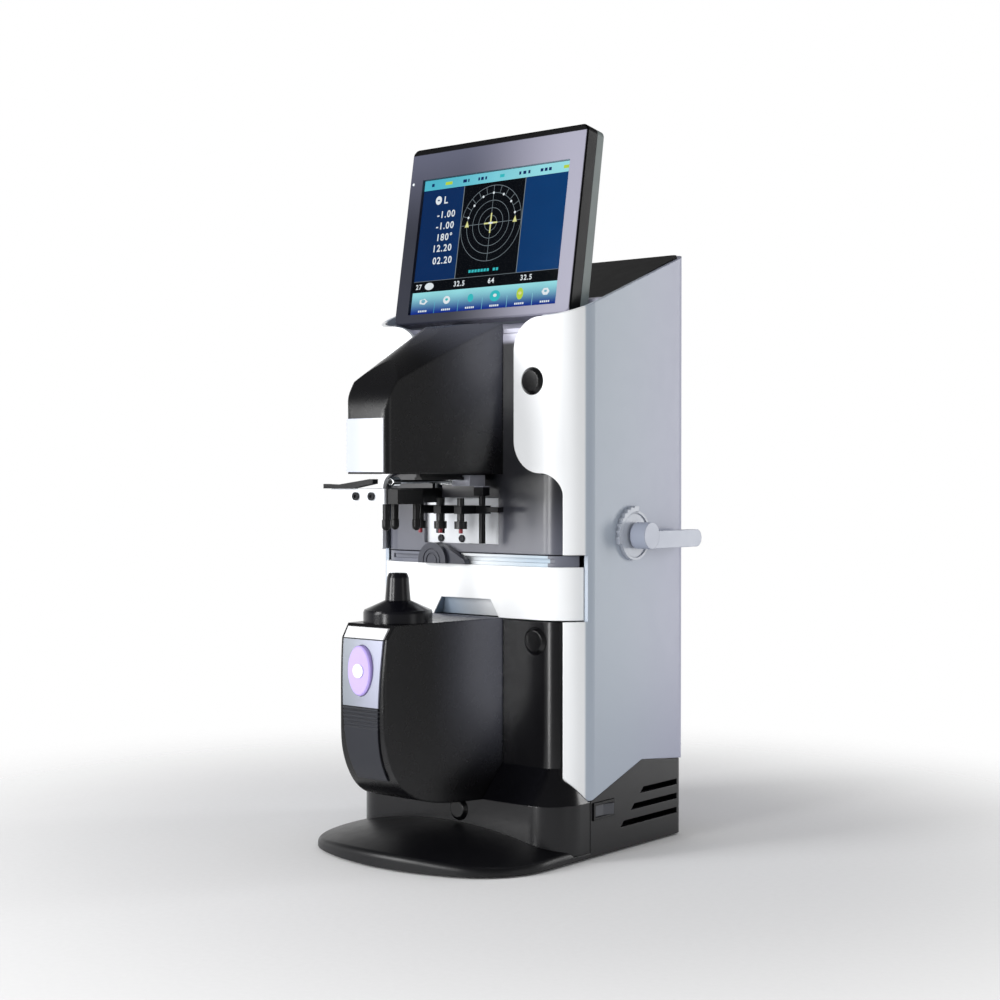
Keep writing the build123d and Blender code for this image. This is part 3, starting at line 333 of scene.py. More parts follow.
class LENSMETER_OT_stage(bpy.types.Operator):
    """Floor, lights, room and camera"""
    bl_idname = "lensmeter.stage"
    bl_label = "Stage"

    def execute(self, context):
        sizes = context.scene.lensmeter_studio
        scene = context.scene
        scene.view_settings.view_transform = "Standard"
        self.lay_floor(scene, sizes)
        self.light_room(scene, sizes)
        self.hang_lamps(scene, sizes)

        camera = bpy.data.cameras.new("camera")
        camera.sensor_width = CAMERA_SENSOR
        camera.lens = CAMERA_LENS
        camera.clip_start = 0.01
        made = bpy.data.objects.new("camera", camera)
        made.location = CAMERA_SPOT
        made.rotation_euler = (math.radians(90 + CAMERA_TILT), 0, math.radians(CAMERA_TURN))
        scene.collection.objects.link(made)
        scene.camera = made
        return {"FINISHED"}

    def lay_floor(self, scene, sizes):
        """Pale seamless paper: it takes the shadow near the object and fades to the white room."""
        bm = bmesh.new()
        bmesh.ops.create_circle(bm, cap_ends=True, segments=96, radius=3.0)
        floor = bpy.data.objects.new("floor", mesh_of("floor", bm, False))
        scene.collection.objects.link(floor)
        # Matt paper: fibres too fine to see give it a soft white without any shine.
        made = new_material("seamless_paper")
        tree = made.tree
        set_shader(made, Roughness=0.85, Specular_IOR_Level=0.2)
        fibre = add(tree, "ShaderNodeTexNoise", {"Scale": 1 / (4 * MM), "Detail": 3.0},
                    {"Vector": made.place})
        tone = add(tree, "ShaderNodeMix", {"data_type": "RGBA", 6: linear("#F0F0F1"), 7: linear("#F6F6F7")},
                   {0: fibre.outputs["Fac"]})
        tree.links.new(tone.outputs[2], made.shader.inputs["Base Color"])
        reach = add(tree, "ShaderNodeVectorMath", {"operation": "LENGTH"}, {0: made.place})
        fade = add(tree, "ShaderNodeMapRange",
                   {"interpolation_type": "SMOOTHSTEP", "From Min": sizes.floor_reach * 0.35,
                    "From Max": sizes.floor_reach}, {"Value": reach.outputs["Value"]})
        open_air = add(tree, "ShaderNodeBsdfTransparent")
        both = add(tree, "ShaderNodeMixShader", (),
                   {0: fade.outputs[0], 1: made.shader.outputs[0], 2: open_air.outputs[0]})
        tree.links.new(both.outputs[0], tree.nodes["Material Output"].inputs["Surface"])
        floor.data.materials.append(made.material)

    def light_room(self, scene, sizes):
        """The room is white to the eye and gives a plain even light. Glass shows the white too, and
        reflections show the white backdrop with the dark ceiling and the dim front of a studio."""
        world = bpy.data.worlds.new("room")
        scene.world = world
        world.use_nodes = True
        tree = world.node_tree
        tree.nodes.clear()
        path = add(tree, "ShaderNodeLightPath")
        way = add(tree, "ShaderNodeTexCoord").outputs["Generated"]
        up = along(Made(world, tree, None, way), "Z", 0.12, 0.55)
        behind = add(tree, "ShaderNodeVectorMath", {"operation": "DOT_PRODUCT", 1: AWAY}, {0: way})
        back = add(tree, "ShaderNodeMapRange",
                   {"From Min": -0.1, "From Max": 0.5, "To Min": sizes.front_dim, "To Max": 1.0},
                   {"Value": behind.outputs["Value"]})
        shine = add(tree, "ShaderNodeMix", {"data_type": "FLOAT", 3: sizes.ceiling},
                    {0: up, 2: back.outputs[0]})
        level = add(tree, "ShaderNodeMix", {"data_type": "FLOAT", 2: sizes.room_light},
                    {0: path.outputs["Is Glossy Ray"], 3: shine.outputs[0]})
        seen = add(tree, "ShaderNodeMath", {"operation": "MAXIMUM"},
                   {0: path.outputs["Is Camera Ray"], 1: path.outputs["Is Transmission Ray"]})
        level = add(tree, "ShaderNodeMix", {"data_type": "FLOAT", 3: 1.0},
                    {0: seen.outputs[0], 2: level.outputs[0]})
        room = add(tree, "ShaderNodeBackground", {"Color": (1, 1, 1, 1)}, {"Strength": level.outputs[0]})
        add(tree, "ShaderNodeOutputWorld", (), {"Surface": room.outputs[0]})

    def hang_lamps(self, scene, sizes):
        """Soft boxes round the object, each with its power, its place and its width and height."""
        middle = Vector((0, 0, 0.25))
        for name, power, spot, width, height in (
                ("key_light", sizes.key_power, (-0.78, -1.42, 0.6), 0.5, 0.95),
                ("strip_light", sizes.strip_power, (-0.05, -1.6, 0.35), 0.2, 1.1),
                ("edge_light", sizes.edge_power, (0.92, 1.42, 0.42), 0.26, 1.1),
                ("fill_light", sizes.fill_power, (1.65, 0.05, 0.4), 0.5, 1.2)):
            lamp = bpy.data.lights.new(name, "AREA")
            lamp.energy = power
            lamp.shape = "RECTANGLE"
            lamp.size = width
            lamp.size_y = height
            made = bpy.data.objects.new(name, lamp)
            made.location = spot
            made.rotation_euler = (middle - Vector(spot)).to_track_quat("-Z", "Y").to_euler()
            made.visible_camera = False
            scene.collection.objects.link(made)


# Covers and base

class LENSMETER_OT_covers(bpy.types.Operator):
    """White and blue-grey covers, black fronts and noses, and the base"""
    bl_idname = "lensmeter.covers"
    bl_label = "Covers and base"

    def execute(self, context):
        self.finish_sides(context.scene.lensmeter_covers)
        self.finish_noses()
        self.finish_fronts()
        return {"FINISHED"}

    def finish_sides(self, sizes):
        # Glossy white ABS on the front that turns into a satin blue-grey on the side: partly the side's
        # own grey and partly painted shade of the side turned from the light. It darkens to a lilac
        # grey towards the back as painted shade too, with a crisp soft sheen and very faint flow marks.
        made = new_material("gloss_white_abs_with_painted_side_shade")
        tree = made.tree
        turn = 1.0 * MM
        back_shade_from, back_shade_to = 20 * MM, 130 * MM
        front = surface(made, tuple(sizes.front_colour), roughness=0.30, drift=0.012, spread=0.03,
                        grain_mm=1.4, relief_mm=0.003, edge_mm=0.8)
        side = along(made, "Y", sizes.side_from - turn, sizes.side_from + turn)
        cast = add(tree, "ShaderNodeTexNoise", {"Scale": 1 / (160 * MM), "Detail": 1.0},
                   {"Vector": made.place})
        cool = add(tree, "ShaderNodeMix",
                   {"data_type": "RGBA", 6: tuple(sizes.side_shade_colour), 7: linear("#B4BFCA")},
                   {0: cast.outputs["Fac"]})
        # Painted shade: the side darkens to a lilac grey towards the back.
        deep = add(tree, "ShaderNodeMix", {"data_type": "RGBA", 7: linear("#A9ACC2")},
                   {0: along(made, "Y", back_shade_from, back_shade_to), 6: cool.outputs[2]})
        both = add(tree, "ShaderNodeMix", {"data_type": "RGBA"}, {0: side, 6: front, 7: deep.outputs[2]})
        tree.links.new(both.outputs[2], made.shader.inputs["Base Color"])
        set_shader(made, Specular_IOR_Level=0.3)
        dress(made.material, "right_side_cover", "left_side_cover", "rear_cover")

    def finish_noses(self):
        # Polished black ABS whose long edges are rounded by polishing. The sides sweep out to the
        # column, and towards it they go from black to a soft graphite sheen painted on as a painted
        # reflection, from a low height to a high one.
        root_from, root_to = -85 * MM, -14 * MM
        for name, node, low, high in (("swept_black_abs_painted_sheen_head", "head_cover", 262 * MM, 345 * MM),
                                      ("swept_black_abs_painted_sheen_nose", "lower_nose_cover", 45 * MM, 120 * MM)):
            made = new_material(name)
            sheen_and_sweep = add(made.tree, "ShaderNodeMath", {"operation": "MULTIPLY"},
                       {0: along(made, "Y", root_from, root_to), 1: along(made, "Z", low, high)})
            tone = surface(made, linear("#050508"), roughness=0.27, drift=0.12, spread=0.03, grain_mm=2.0,
                           relief_mm=0.0008, edge_mm=2.0, flare=sheen_and_sweep.outputs[0])
            # Painted reflection: the graphite sheen on each side towards the column.
            painted(made, tone, sheen_and_sweep.outputs[0], "#595B66")
            dress(made.material, node)

    def finish_fronts(self):
        # Black ABS polished in the mould: deep, with a slightly uneven mirror.
        gloss = finished("polished_black_abs", "#07070B", roughness=0.24, drift=0.12, spread=0.04,
                         grain_mm=2.0, relief_mm=0.002, edge_mm=0.7)
        dress(gloss, "lower_front_cover")

        # The same behind the bay, painted grey towards the foot of the bay as a painted reflection of
        # the table, and pale along its top edge where it meets the top cover.
        made = new_material("polished_black_abs_painted_reflection_pale_top")
        tone = surface(made, linear("#101118"), roughness=0.32, drift=0.12, spread=0.05, grain_mm=2.0,
                       relief_mm=0.002, edge_mm=0.7)
        # Painted reflection of the white table, towards the foot of the bay.
        tone = painted(made, tone, along(made, "Z", 250 * MM, 200 * MM), "#5A5C68")
        painted(made, tone, along(made, "Z", 341 * MM, 345 * MM), "#C8C8DA")
        set_shader(made, Specular_IOR_Level=0.8)
        dress(made.material, "upper_front_cover")

        # Satin ABS on top: pale lavender under the display, and painted black behind it as the
        # display's painted shadow there.
        made = new_material("satin_pale_abs_with_painted_shadow")
        tone = surface(made, linear("#CFCFDF"), roughness=0.36, drift=0.02, spread=0.04, grain_mm=0.8,
                       relief_mm=0.004, edge_mm=0.6)
        # Painted shadow: black behind the display.
        painted(made, tone, along(made, "Y", 26 * MM, 27 * MM), "#050506")
        set_shader(made, Specular_IOR_Level=0.1)
        dress(made.material, "top_cover")

        # Black ABS with a spark-eroded texture: a soft dark sheen.
        satin = finished("textured_black_abs", "#09090D", roughness=0.38, drift=0.12, spread=0.06,
                         relief_mm=0.012, edge_mm=0.6, shine=0.4)
        dress(satin, "base_apron", "base_housing")
        # Moulded rubber: dull, with a bloom that makes it patchy.
        rubber = finished("soft_black_rubber", "#0C0C0D", roughness=0.62, drift=0.2, spread=0.08,
                          grain_mm=0.4, relief_mm=0.015, edge_mm=0.4, shine=0.3)
        dress(rubber, "rubber_feet")
        # Small polished plugs: the softened edge of each catches a thin ring of light.
        plug = finished("moulded_black_plug", "#08080A", roughness=0.22, drift=0.15, spread=0.04,
                        grain_mm=0.6, edge_mm=0.8)
        dress(plug, "screw_plugs")


# Measuring column

class LENSMETER_OT_column(bpy.types.Operator):
    """Inserts, nosepiece, button, switches and the parts inside"""
    bl_idname = "lensmeter.column"
    bl_label = "Measuring column"

    def execute(self, context):
        self.finish_inserts()
        self.finish_outside()
        self.finish_button()
        self.finish_inside()
        return {"FINISHED"}

    def finish_inserts(self):
        # Silver-white paint over a smooth moulding with fine flake, painted paler towards its right end
        # as a painted highlight.
        made = new_material("silver_white_flake_paint")
        tone = surface(made, linear("#C4C9D6"), roughness=0.40, drift=0.05, spread=0.05, grain_mm=0.25,
                       relief_mm=0.003, edge_mm=0.5)
        low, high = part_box("head_front_insert")
        # Painted highlight: paler towards the right end.
        painted(made, tone, along(made, "X", low.x + 4 * MM, high.x), "#E8EAF0")
        set_shader(made, Specular_IOR_Level=0.3)
        dress(made.material, "head_front_insert")

        # The same paint, greyer on the face and paler and bluer towards its right, with the bent-back
        # top painted bright as a painted highlight and a dark line painted where the two meet.
        bend = 149.2 * MM
        dark_line_height, dark_line_half = 149.0 * MM, 0.35 * MM
        made = new_material("grey_flake_paint")
        tone = surface(made, linear("#858B93"), roughness=0.38, drift=0.06, spread=0.05, grain_mm=0.25,
                       relief_mm=0.004, edge_mm=0.4)
        low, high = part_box("nose_front_insert")
        cool = painted(made, tone, along(made, "X", low.x, high.x), "#A3A6B8")
        # Painted highlight on the bent-back top.
        pale = painted(made, cool, along(made, "Z", bend, bend + 0.4 * MM), "#F2F3F5")
        axis = add(made.tree, "ShaderNodeSeparateXYZ", (), {0: made.place})
        # A dark line painted along the bend, between the face and the top.
        dark_line = add(made.tree, "ShaderNodeMath", {"operation": "COMPARE", 1: dark_line_height, 2: dark_line_half},
                     {0: axis.outputs["Z"]})
        painted(made, pale, dark_line.outputs[0], "#16181A")
        set_shader(made, Metallic=0.25, Specular_IOR_Level=0.4)
        dress(made.material, "nose_front_insert")

    def finish_outside(self):
        # Fine matt black nylon on the parts near the light path: only a soft edge of light shows.
        matt = finished("matt_black_nylon", "#0A0A0D", roughness=0.34, drift=0.15, relief_mm=0.008, shine=0.3)
        dress(matt, "head_underplate", "power_inlet", "switch_housing", "measure_switch", "retainer_arm",
              "retainer_fork", "retainer_lever", "pen_holder", "retainer_pins")
        # The nosepiece is turned acetal, polished, so that its ring and tube catch long highlights.
        turned_black = finished("polished_black_acetal", "#0A0A10", roughness=0.22, drift=0.12, spread=0.04,
                                grain_mm=0.8, relief_mm=0.002, edge_mm=0.9, shine=0.4)
        dress(turned_black, "nosepiece_flange", "nosepiece")
        # Satin graphite ABS: a grey step between the ribs and the black nose.
        panel = finished("satin_graphite_abs", "#23252C", roughness=0.36, drift=0.1, relief_mm=0.006,
                         edge_mm=0.8, shine=0.4)
        dress(panel, "nose_lower_panel")
        # Moulded grey nylon, lighter than its frame, so that the switch reads as a key.
        rocker = finished("rocker_grey_nylon", "#4A4C52", roughness=0.30, drift=0.1, grain_mm=0.6,
                          relief_mm=0.006, edge_mm=0.6)
        dress(rocker, "power_rocker")

    def finish_button(self):
        # Lilac ABS key with a white printed centre: satin, with a clean round edge to the print.
        print_radius, print_edge = 4.4 * MM, 0.2 * MM
        made = new_material("lilac_abs_key")
        tree = made.tree
        tone = surface(made, linear("#BDAAEE"), roughness=0.36, drift=0.05, spread=0.05, grain_mm=0.5,
                       relief_mm=0.006, edge_mm=0.5)
        low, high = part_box("measure_button")
        centre = (low + high) / 2
        offset = add(tree, "ShaderNodeVectorMath", {"operation": "SUBTRACT", 1: (centre.x, 0, centre.z)},
                     {0: made.place})
        flat = add(tree, "ShaderNodeVectorMath", {"operation": "MULTIPLY", 1: (1, 0, 1)},
                   {0: offset.outputs[0]})
        away = add(tree, "ShaderNodeVectorMath", {"operation": "LENGTH"}, {0: flat.outputs[0]})
        ring = add(tree, "ShaderNodeMapRange",
                   {"From Min": print_radius, "From Max": print_radius + print_edge},
                   {"Value": away.outputs["Value"]})
        both = add(tree, "ShaderNodeMix", {"data_type": "RGBA", 6: linear("#F4F4F6")},
                   {0: ring.outputs[0], 7: tone})
        tree.links.new(both.outputs[2], made.shader.inputs["Base Color"])
        dress(made.material, "measure_button")

    def finish_inside(self):
        # Zinc-plated sheet steel: a dull silver with broad cloudy spangles.
        zinc = finished("zinc_plated_steel", "#9EA3A8", roughness=0.36, drift=0.08, spread=0.08,
                        grain_mm=6.0, relief_mm=0.01, edge_mm=0.3, metallic=0.9)
        dress(zinc, "chassis_frame", "head_arm", "nose_arm")
        # Black anodised aluminium, fine turned: a dark metal that still shows its edges.
        barrel = finished("black_anodised_aluminium", "#2A2B2E", roughness=0.35, drift=0.1, spread=0.06,
                          grain_mm=0.3, relief_mm=0.005, edge_mm=0.4, metallic=0.8)
        dress(barrel, "light_source", "sensor_module")
        # Folded aluminium sheet: soft rolling marks and a bright satin.
        case = finished("folded_aluminium", "#B4B6B8", roughness=0.4, drift=0.05, spread=0.06,
                        grain_mm=3.0, relief_mm=0.01, edge_mm=0.3, metallic=0.9)
        dress(case, "power_supply")
        # Green solder mask over copper tracks, which show as darker and lighter patches.
        board = finished("solder_masked_board", "#0F4A2A", roughness=0.3, drift=0.25, spread=0.06,
                         grain_mm=1.2, relief_mm=0.02, edge_mm=0.2)
        dress(board, "main_board")
        # Machined white acetal: milky and slightly waxy.
        acetal = finished("white_acetal", "#E4E2DC", roughness=0.35, drift=0.03, grain_mm=0.8,
                          relief_mm=0.006)
        dress(acetal, "table_guides", "shaft_bearing")
        # Polished optical glass with a little dust: clear, with sharp reflections.
        glass = new_material("clear_optical_glass")
        set_shader(glass, Base_Color=linear("#DDE8F0"), IOR=1.52, Alpha=0.35)
        clear(glass, grain_mm=2, detail=2.0, smooth=0.02, rough=0.06)
        dress(glass.material, "upper_window")


# Lens table and its drive

class LENSMETER_OT_table(bpy.types.Operator):
    """Lens table, PD rail and slider, side lever and drive"""
    bl_idname = "lensmeter.table"
    bl_label = "Lens table"

    def execute(self, context):
        self.finish_table()
        self.finish_rail()
        self.finish_drive()
        return {"FINISHED"}

    def finish_table(self):
        # Glossy white ABS, like the front covers, with blue-grey painted shade on the slope of the thumb
        # notch that fades to white at its right.
        soft = 0.6 * MM
        slope_front, slope_top = -14.0 * MM, 171.4 * MM
        shade_left, shade_full, shade_right = -50 * MM, -36 * MM, 20 * MM
        made = new_material("gloss_white_abs")
        tone = surface(made, linear("#F4F6F8"), roughness=0.26, drift=0.012, spread=0.03, grain_mm=1.4,
                       relief_mm=0.003, edge_mm=0.8)
        slope = add(made.tree, "ShaderNodeMath", {"operation": "MULTIPLY"},
                    {0: along(made, "Y", slope_front, slope_front + soft),
                     1: along(made, "Z", slope_top, slope_top - 0.8 * MM)})
        across = add(made.tree, "ShaderNodeMath", {"operation": "MULTIPLY"},
                     {0: along(made, "X", shade_right, shade_full),
                      1: along(made, "X", shade_left, shade_left + 1 * MM)})
        notch = add(made.tree, "ShaderNodeMath", {"operation": "MULTIPLY"},
                    {0: slope.outputs[0], 1: across.outputs[0]})
        # Painted shade on the slope of the notch.
        painted(made, tone, notch.outputs[0], "#8C9DB0")
        set_shader(made, Specular_IOR_Level=0.4)
        dress(made.material, "lens_table")
        # Stove-enamelled steel plate: an even satin white.
        pale = finished("satin_pale_enamel", "#E2E5EA", roughness=0.34, drift=0.03, spread=0.04,
                        grain_mm=0.8, relief_mm=0.006, edge_mm=0.4)
        dress(pale, "bay_plate", "retainer_plate")

    def finish_rail(self):
        # Grey ABS rail with a painted reflection along its middle: a pale band that takes a blue cast
        # to the right.
        soft = 0.6 * MM
        reflection_left, reflection_right = -45.6 * MM, 60.0 * MM
        made = new_material("grey_abs_with_painted_reflection")
        tone = surface(made, linear("#6A6D79"), roughness=0.36, drift=0.06, spread=0.05, grain_mm=0.7,
                       relief_mm=0.008, edge_mm=0.5)
        # Painted reflection: the pale band along the middle of the rail.
        strip = add(made.tree, "ShaderNodeMath", {"operation": "MULTIPLY"},
                    {0: along(made, "X", reflection_left, reflection_left + soft),
                     1: along(made, "X", reflection_right, reflection_right - soft)})
        cast = add(made.tree, "ShaderNodeMix",
                   {"data_type": "RGBA", 6: linear("#F1F4F7"), 7: linear("#B9C9D6")},
                   {0: along(made, "X", -20 * MM, reflection_right)})
        both = add(made.tree, "ShaderNodeMix", {"data_type": "RGBA"},
                   {0: strip.outputs[0], 6: tone, 7: cast.outputs[2]})
        made.tree.links.new(both.outputs[2], made.shader.inputs["Base Color"])
        dress(made.material, "pd_rail")
        # Slate ABS straight from a smooth mould: a low, even gloss.
        slider = finished("moulded_slate_abs", "#3A3C46", roughness=0.30, drift=0.08, grain_mm=0.6,
                          relief_mm=0.006, shine=0.4)
        dress(slider, "pd_slider")

    def finish_drive(self):
        # Silver-grey ABS on the lever and a paler one on its dial, both with soft rounded highlights.
        lever = finished("moulded_silver_grey_abs", "#B0B7C8", roughness=0.30, drift=0.04, grain_mm=0.7,
                         relief_mm=0.005, edge_mm=0.8)
        dress(lever, "side_lever")
        dial = finished("moulded_pale_grey_abs", "#C3C9D4", roughness=0.30, drift=0.04, grain_mm=0.7,
                        relief_mm=0.005, edge_mm=0.8)
        dress(dial, "lever_dial")
        # Ground and polished steel: a bright line of light along each rod.
        rod = finished("ground_steel_rod", "#C8CBCE", roughness=0.16, drift=0.03, grain_mm=0.4,
                       relief_mm=0.002, edge_mm=0.2, metallic=1.0)
        dress(rod, "table_guide_rods", "lever_shaft", "retainer_post", "hinge_pins", "marking_pull_rod")
        # Milled aluminium: silver with faint cutter marks.
        milled = finished("milled_aluminium", "#B6B9BC", roughness=0.34, drift=0.04, spread=0.06,
                          grain_mm=0.8, relief_mm=0.006, edge_mm=0.3, metallic=1.0)
        dress(milled, "table_carriage")
        # Cut brass: warm yellow, and bright on the tips of the teeth.
        brass = finished("cut_brass", "#C9A455", roughness=0.3, drift=0.06, spread=0.06, edge_mm=0.2,
                         metallic=1.0)
        dress(brass, "sector_gear", "table_rack")
        # Blackened steel: dark heads with a dull metal edge.
        screw = finished("blackened_steel_screw", "#2E2F32", roughness=0.32, drift=0.1, spread=0.06,
                         grain_mm=0.3, edge_mm=0.2, metallic=0.8)
        dress(screw, "cover_screws")


# Marking unit

class LENSMETER_OT_marking(bpy.types.Operator):
    """Marking carriage and pens"""
    bl_idname = "lensmeter.marking"
    bl_label = "Marking unit"

    def execute(self, context):
        # Satin chromed zinc for the carriage, black on the post that hangs below it, so that the
        # bright block stands out against the bay.
        block_foot = 245.6 * MM
        made = new_material("satin_chromed_zinc_over_black_post")
        tone = surface(made, linear("#0B0B0E"), roughness=0.30, drift=0.08, spread=0.05, grain_mm=0.5,
                       relief_mm=0.004, edge_mm=0.5)
        painted(made, tone, along(made, "Z", block_foot, block_foot + 0.6 * MM), "#A9ABB6")
        set_shader(made, Metallic=0.5)
        dress(made.material, "marking_carriage")

        # Black pen barrels whose felt tips are soaked in red ink: satin above, dull red below.
        felt_high = 3.0 * MM
        made = new_material("black_pen_with_red_felt")
        tone = surface(made, linear("#0E0E10"), roughness=0.34, drift=0.1, spread=0.06, grain_mm=0.5,
                       relief_mm=0.006, edge_mm=0.3)
        low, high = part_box("marking_pens")
        axis = add(made.tree, "ShaderNodeSeparateXYZ", (), {0: made.place})
        felt = add(made.tree, "ShaderNodeMapRange",
                   {"From Min": low.z + felt_high, "From Max": low.z + felt_high - 0.1 * MM},
                   {"Value": axis.outputs["Z"]})
        painted(made, tone, felt.outputs[0], "#8E2430")
        dress(made.material, "marking_pens")
        return {"FINISHED"}


# Display

def display_place():
    """The display's own axes: X across, Z up its face and Y into it, from the middle of its low front
    edge. The glass leans with the display, so its thickness is worked out from its upright box."""
    low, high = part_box("touch_glass")
    lean_sin, lean_cos, lean_tan = math.sin(DISPLAY_LEAN), math.cos(DISPLAY_LEAN), math.tan(DISPLAY_LEAN)
    thick = (high.y - low.y - (high.z - low.z) * lean_tan) / (lean_cos - lean_sin * lean_tan)
    middle = (low.x + high.x) / 2
    foot = low.z + thick * lean_sin
    return Matrix(((1, 0, 0, middle), (0, lean_cos, lean_sin, low.y), (0, -lean_sin, lean_cos, foot),
                   (0, 0, 0, 1)))


class Drawing:
    """Flat shapes on the lit screen, each in millimetres, on one layer and in one of its colours."""

    def __init__(self, place):
        self.place = place
        self.bm = bmesh.new()

    def outline(self, points, layer, tint):
        corners = [Vector((x * MM, layer * MM, z * MM)) for x, z in points]
        face = self.bm.faces.new([self.bm.verts.new(self.place @ corner) for corner in corners])
        face.material_index = tint

    def box(self, left, right, low, high, layer, tint):
        self.outline(((left, low), (right, low), (right, high), (left, high)), layer, tint)

    def bar(self, x, z, half_wide, half_high, layer, tint):
        self.box(x - half_wide, x + half_wide, z - half_high, z + half_high, layer, tint)

    def disc(self, x, z, radius, layer, tint, squash=1.0, corners=28):
        steps = [2 * math.pi * i / corners for i in range(corners)]
        points = [(x + radius * math.cos(a), z + squash * radius * math.sin(a)) for a in steps]
        self.outline(points, layer, tint)


def ring_tree(name, material):
    """Rings and ticks of the target: flat ribbons round the middle, as real geometry."""
    tree, given = new_tree(name, Step="NodeSocketFloat", Rings="NodeSocketInt", Line="NodeSocketFloat",
                           Ticks="NodeSocketInt")
    # A circle of radius 1 is scaled by each ring's radius, then drawn as a ribbon of one width.
    spots = add(tree, "GeometryNodeMeshLine", {"mode": "OFFSET", "Offset": (0, 0, 0)},
                {"Count": given["Rings"]})
    index = add(tree, "GeometryNodeInputIndex")
    number = add(tree, "ShaderNodeMath", {"operation": "ADD", 1: 1.0}, {0: index.outputs[0]})
    radius = add(tree, "ShaderNodeMath", {"operation": "MULTIPLY"}, {0: number.outputs[0], 1: given["Step"]})
    scale = add(tree, "ShaderNodeCombineXYZ", (),
                {0: radius.outputs[0], 1: radius.outputs[0], 2: radius.outputs[0]})
    circle = add(tree, "GeometryNodeCurvePrimitiveCircle",
                 {"mode": "RADIUS", "Resolution": 72, "Radius": 1.0})
    rings = add(tree, "GeometryNodeInstanceOnPoints", (),
                {"Points": spots.outputs[0], "Instance": circle.outputs[0], "Scale": scale.outputs[0]})
    loops = add(tree, "GeometryNodeRealizeInstances", (), {0: rings.outputs[0]})
    # Ticks stand between the last two rings, over the upper half.
    outer = add(tree, "ShaderNodeMath", {"operation": "MULTIPLY"}, {0: given["Rings"], 1: given["Step"]})
    inner = add(tree, "ShaderNodeMath", {"operation": "SUBTRACT"}, {0: outer.outputs[0], 1: given["Step"]})
    start = add(tree, "ShaderNodeCombineXYZ", (), {0: inner.outputs[0]})
    end = add(tree, "ShaderNodeCombineXYZ", (), {0: outer.outputs[0]})
    tick = add(tree, "GeometryNodeCurvePrimitiveLine", (), {"Start": start.outputs[0], "End": end.outputs[0]})
    spots = add(tree, "GeometryNodeMeshLine", {"mode": "OFFSET", "Offset": (0, 0, 0)},
                {"Count": given["Ticks"]})
    last = add(tree, "ShaderNodeMath", {"operation": "SUBTRACT", 1: 1.0}, {0: given["Ticks"]})
    share = add(tree, "ShaderNodeMath", {"operation": "DIVIDE"}, {0: index.outputs[0], 1: last.outputs[0]})
    angle = add(tree, "ShaderNodeMath", {"operation": "MULTIPLY", 1: math.pi}, {0: share.outputs[0]})
    turn = add(tree, "ShaderNodeCombineXYZ", (), {2: angle.outputs[0]})
    ticks = add(tree, "GeometryNodeInstanceOnPoints", (),
                {"Points": spots.outputs[0], "Instance": tick.outputs[0], "Rotation": turn.outputs[0]})
    marks = add(tree, "GeometryNodeRealizeInstances", (), {0: ticks.outputs[0]})
    drawn = add(tree, "GeometryNodeJoinGeometry")
    tree.links.new(loops.outputs[0], drawn.inputs[0])
    tree.links.new(marks.outputs[0], drawn.inputs[0])
    half = add(tree, "ShaderNodeMath", {"operation": "MULTIPLY", 1: 0.5}, {0: given["Line"]})
    profile = add(tree, "GeometryNodeCurvePrimitiveCircle", {"mode": "RADIUS", "Resolution": 4},
                  {"Radius": half.outputs[0]})
    tube = add(tree, "GeometryNodeCurveToMesh", {"Fill Caps": True},
               {"Curve": drawn.outputs[0], "Profile Curve": profile.outputs[0]})
    return coated(tree, tube.outputs[0], material)


def figures(text, size, place, x, z):
    """Plain digits as a flat mesh on the screen, with their size and middle in millimetres."""
    curve = bpy.data.curves.new("digits", "FONT")
    curve.body = text
    curve.size = size * MM
    curve.align_x = "CENTER"
    curve.align_y = "CENTER"
    curve.offset = 0.02 * size * MM
    curve.space_character = 1.18
    curve.resolution_u = 3
    holder = bpy.data.objects.new("digits", curve)
    bpy.context.scene.collection.objects.link(holder)
    mesh = plain(holder, "digits")
    mesh.transform(place @ Matrix.Translation((x * MM, FRONT_LAYER * MM, z * MM)) @ UPRIGHT)
    return mesh


def joined(name, meshes):
    """Several meshes as one. Each takes the material index beside it, or keeps its own for None."""
    bm = bmesh.new()
    for mesh, index in meshes:
        first = len(bm.faces)
        bm.from_mesh(mesh)
        bm.faces.ensure_lookup_table()
        if index is not None:
            for face in bm.faces[first:]:
                face.material_index = index
    made = bpy.data.meshes.new(name)
    bm.to_mesh(made)
    bm.free()
    return made


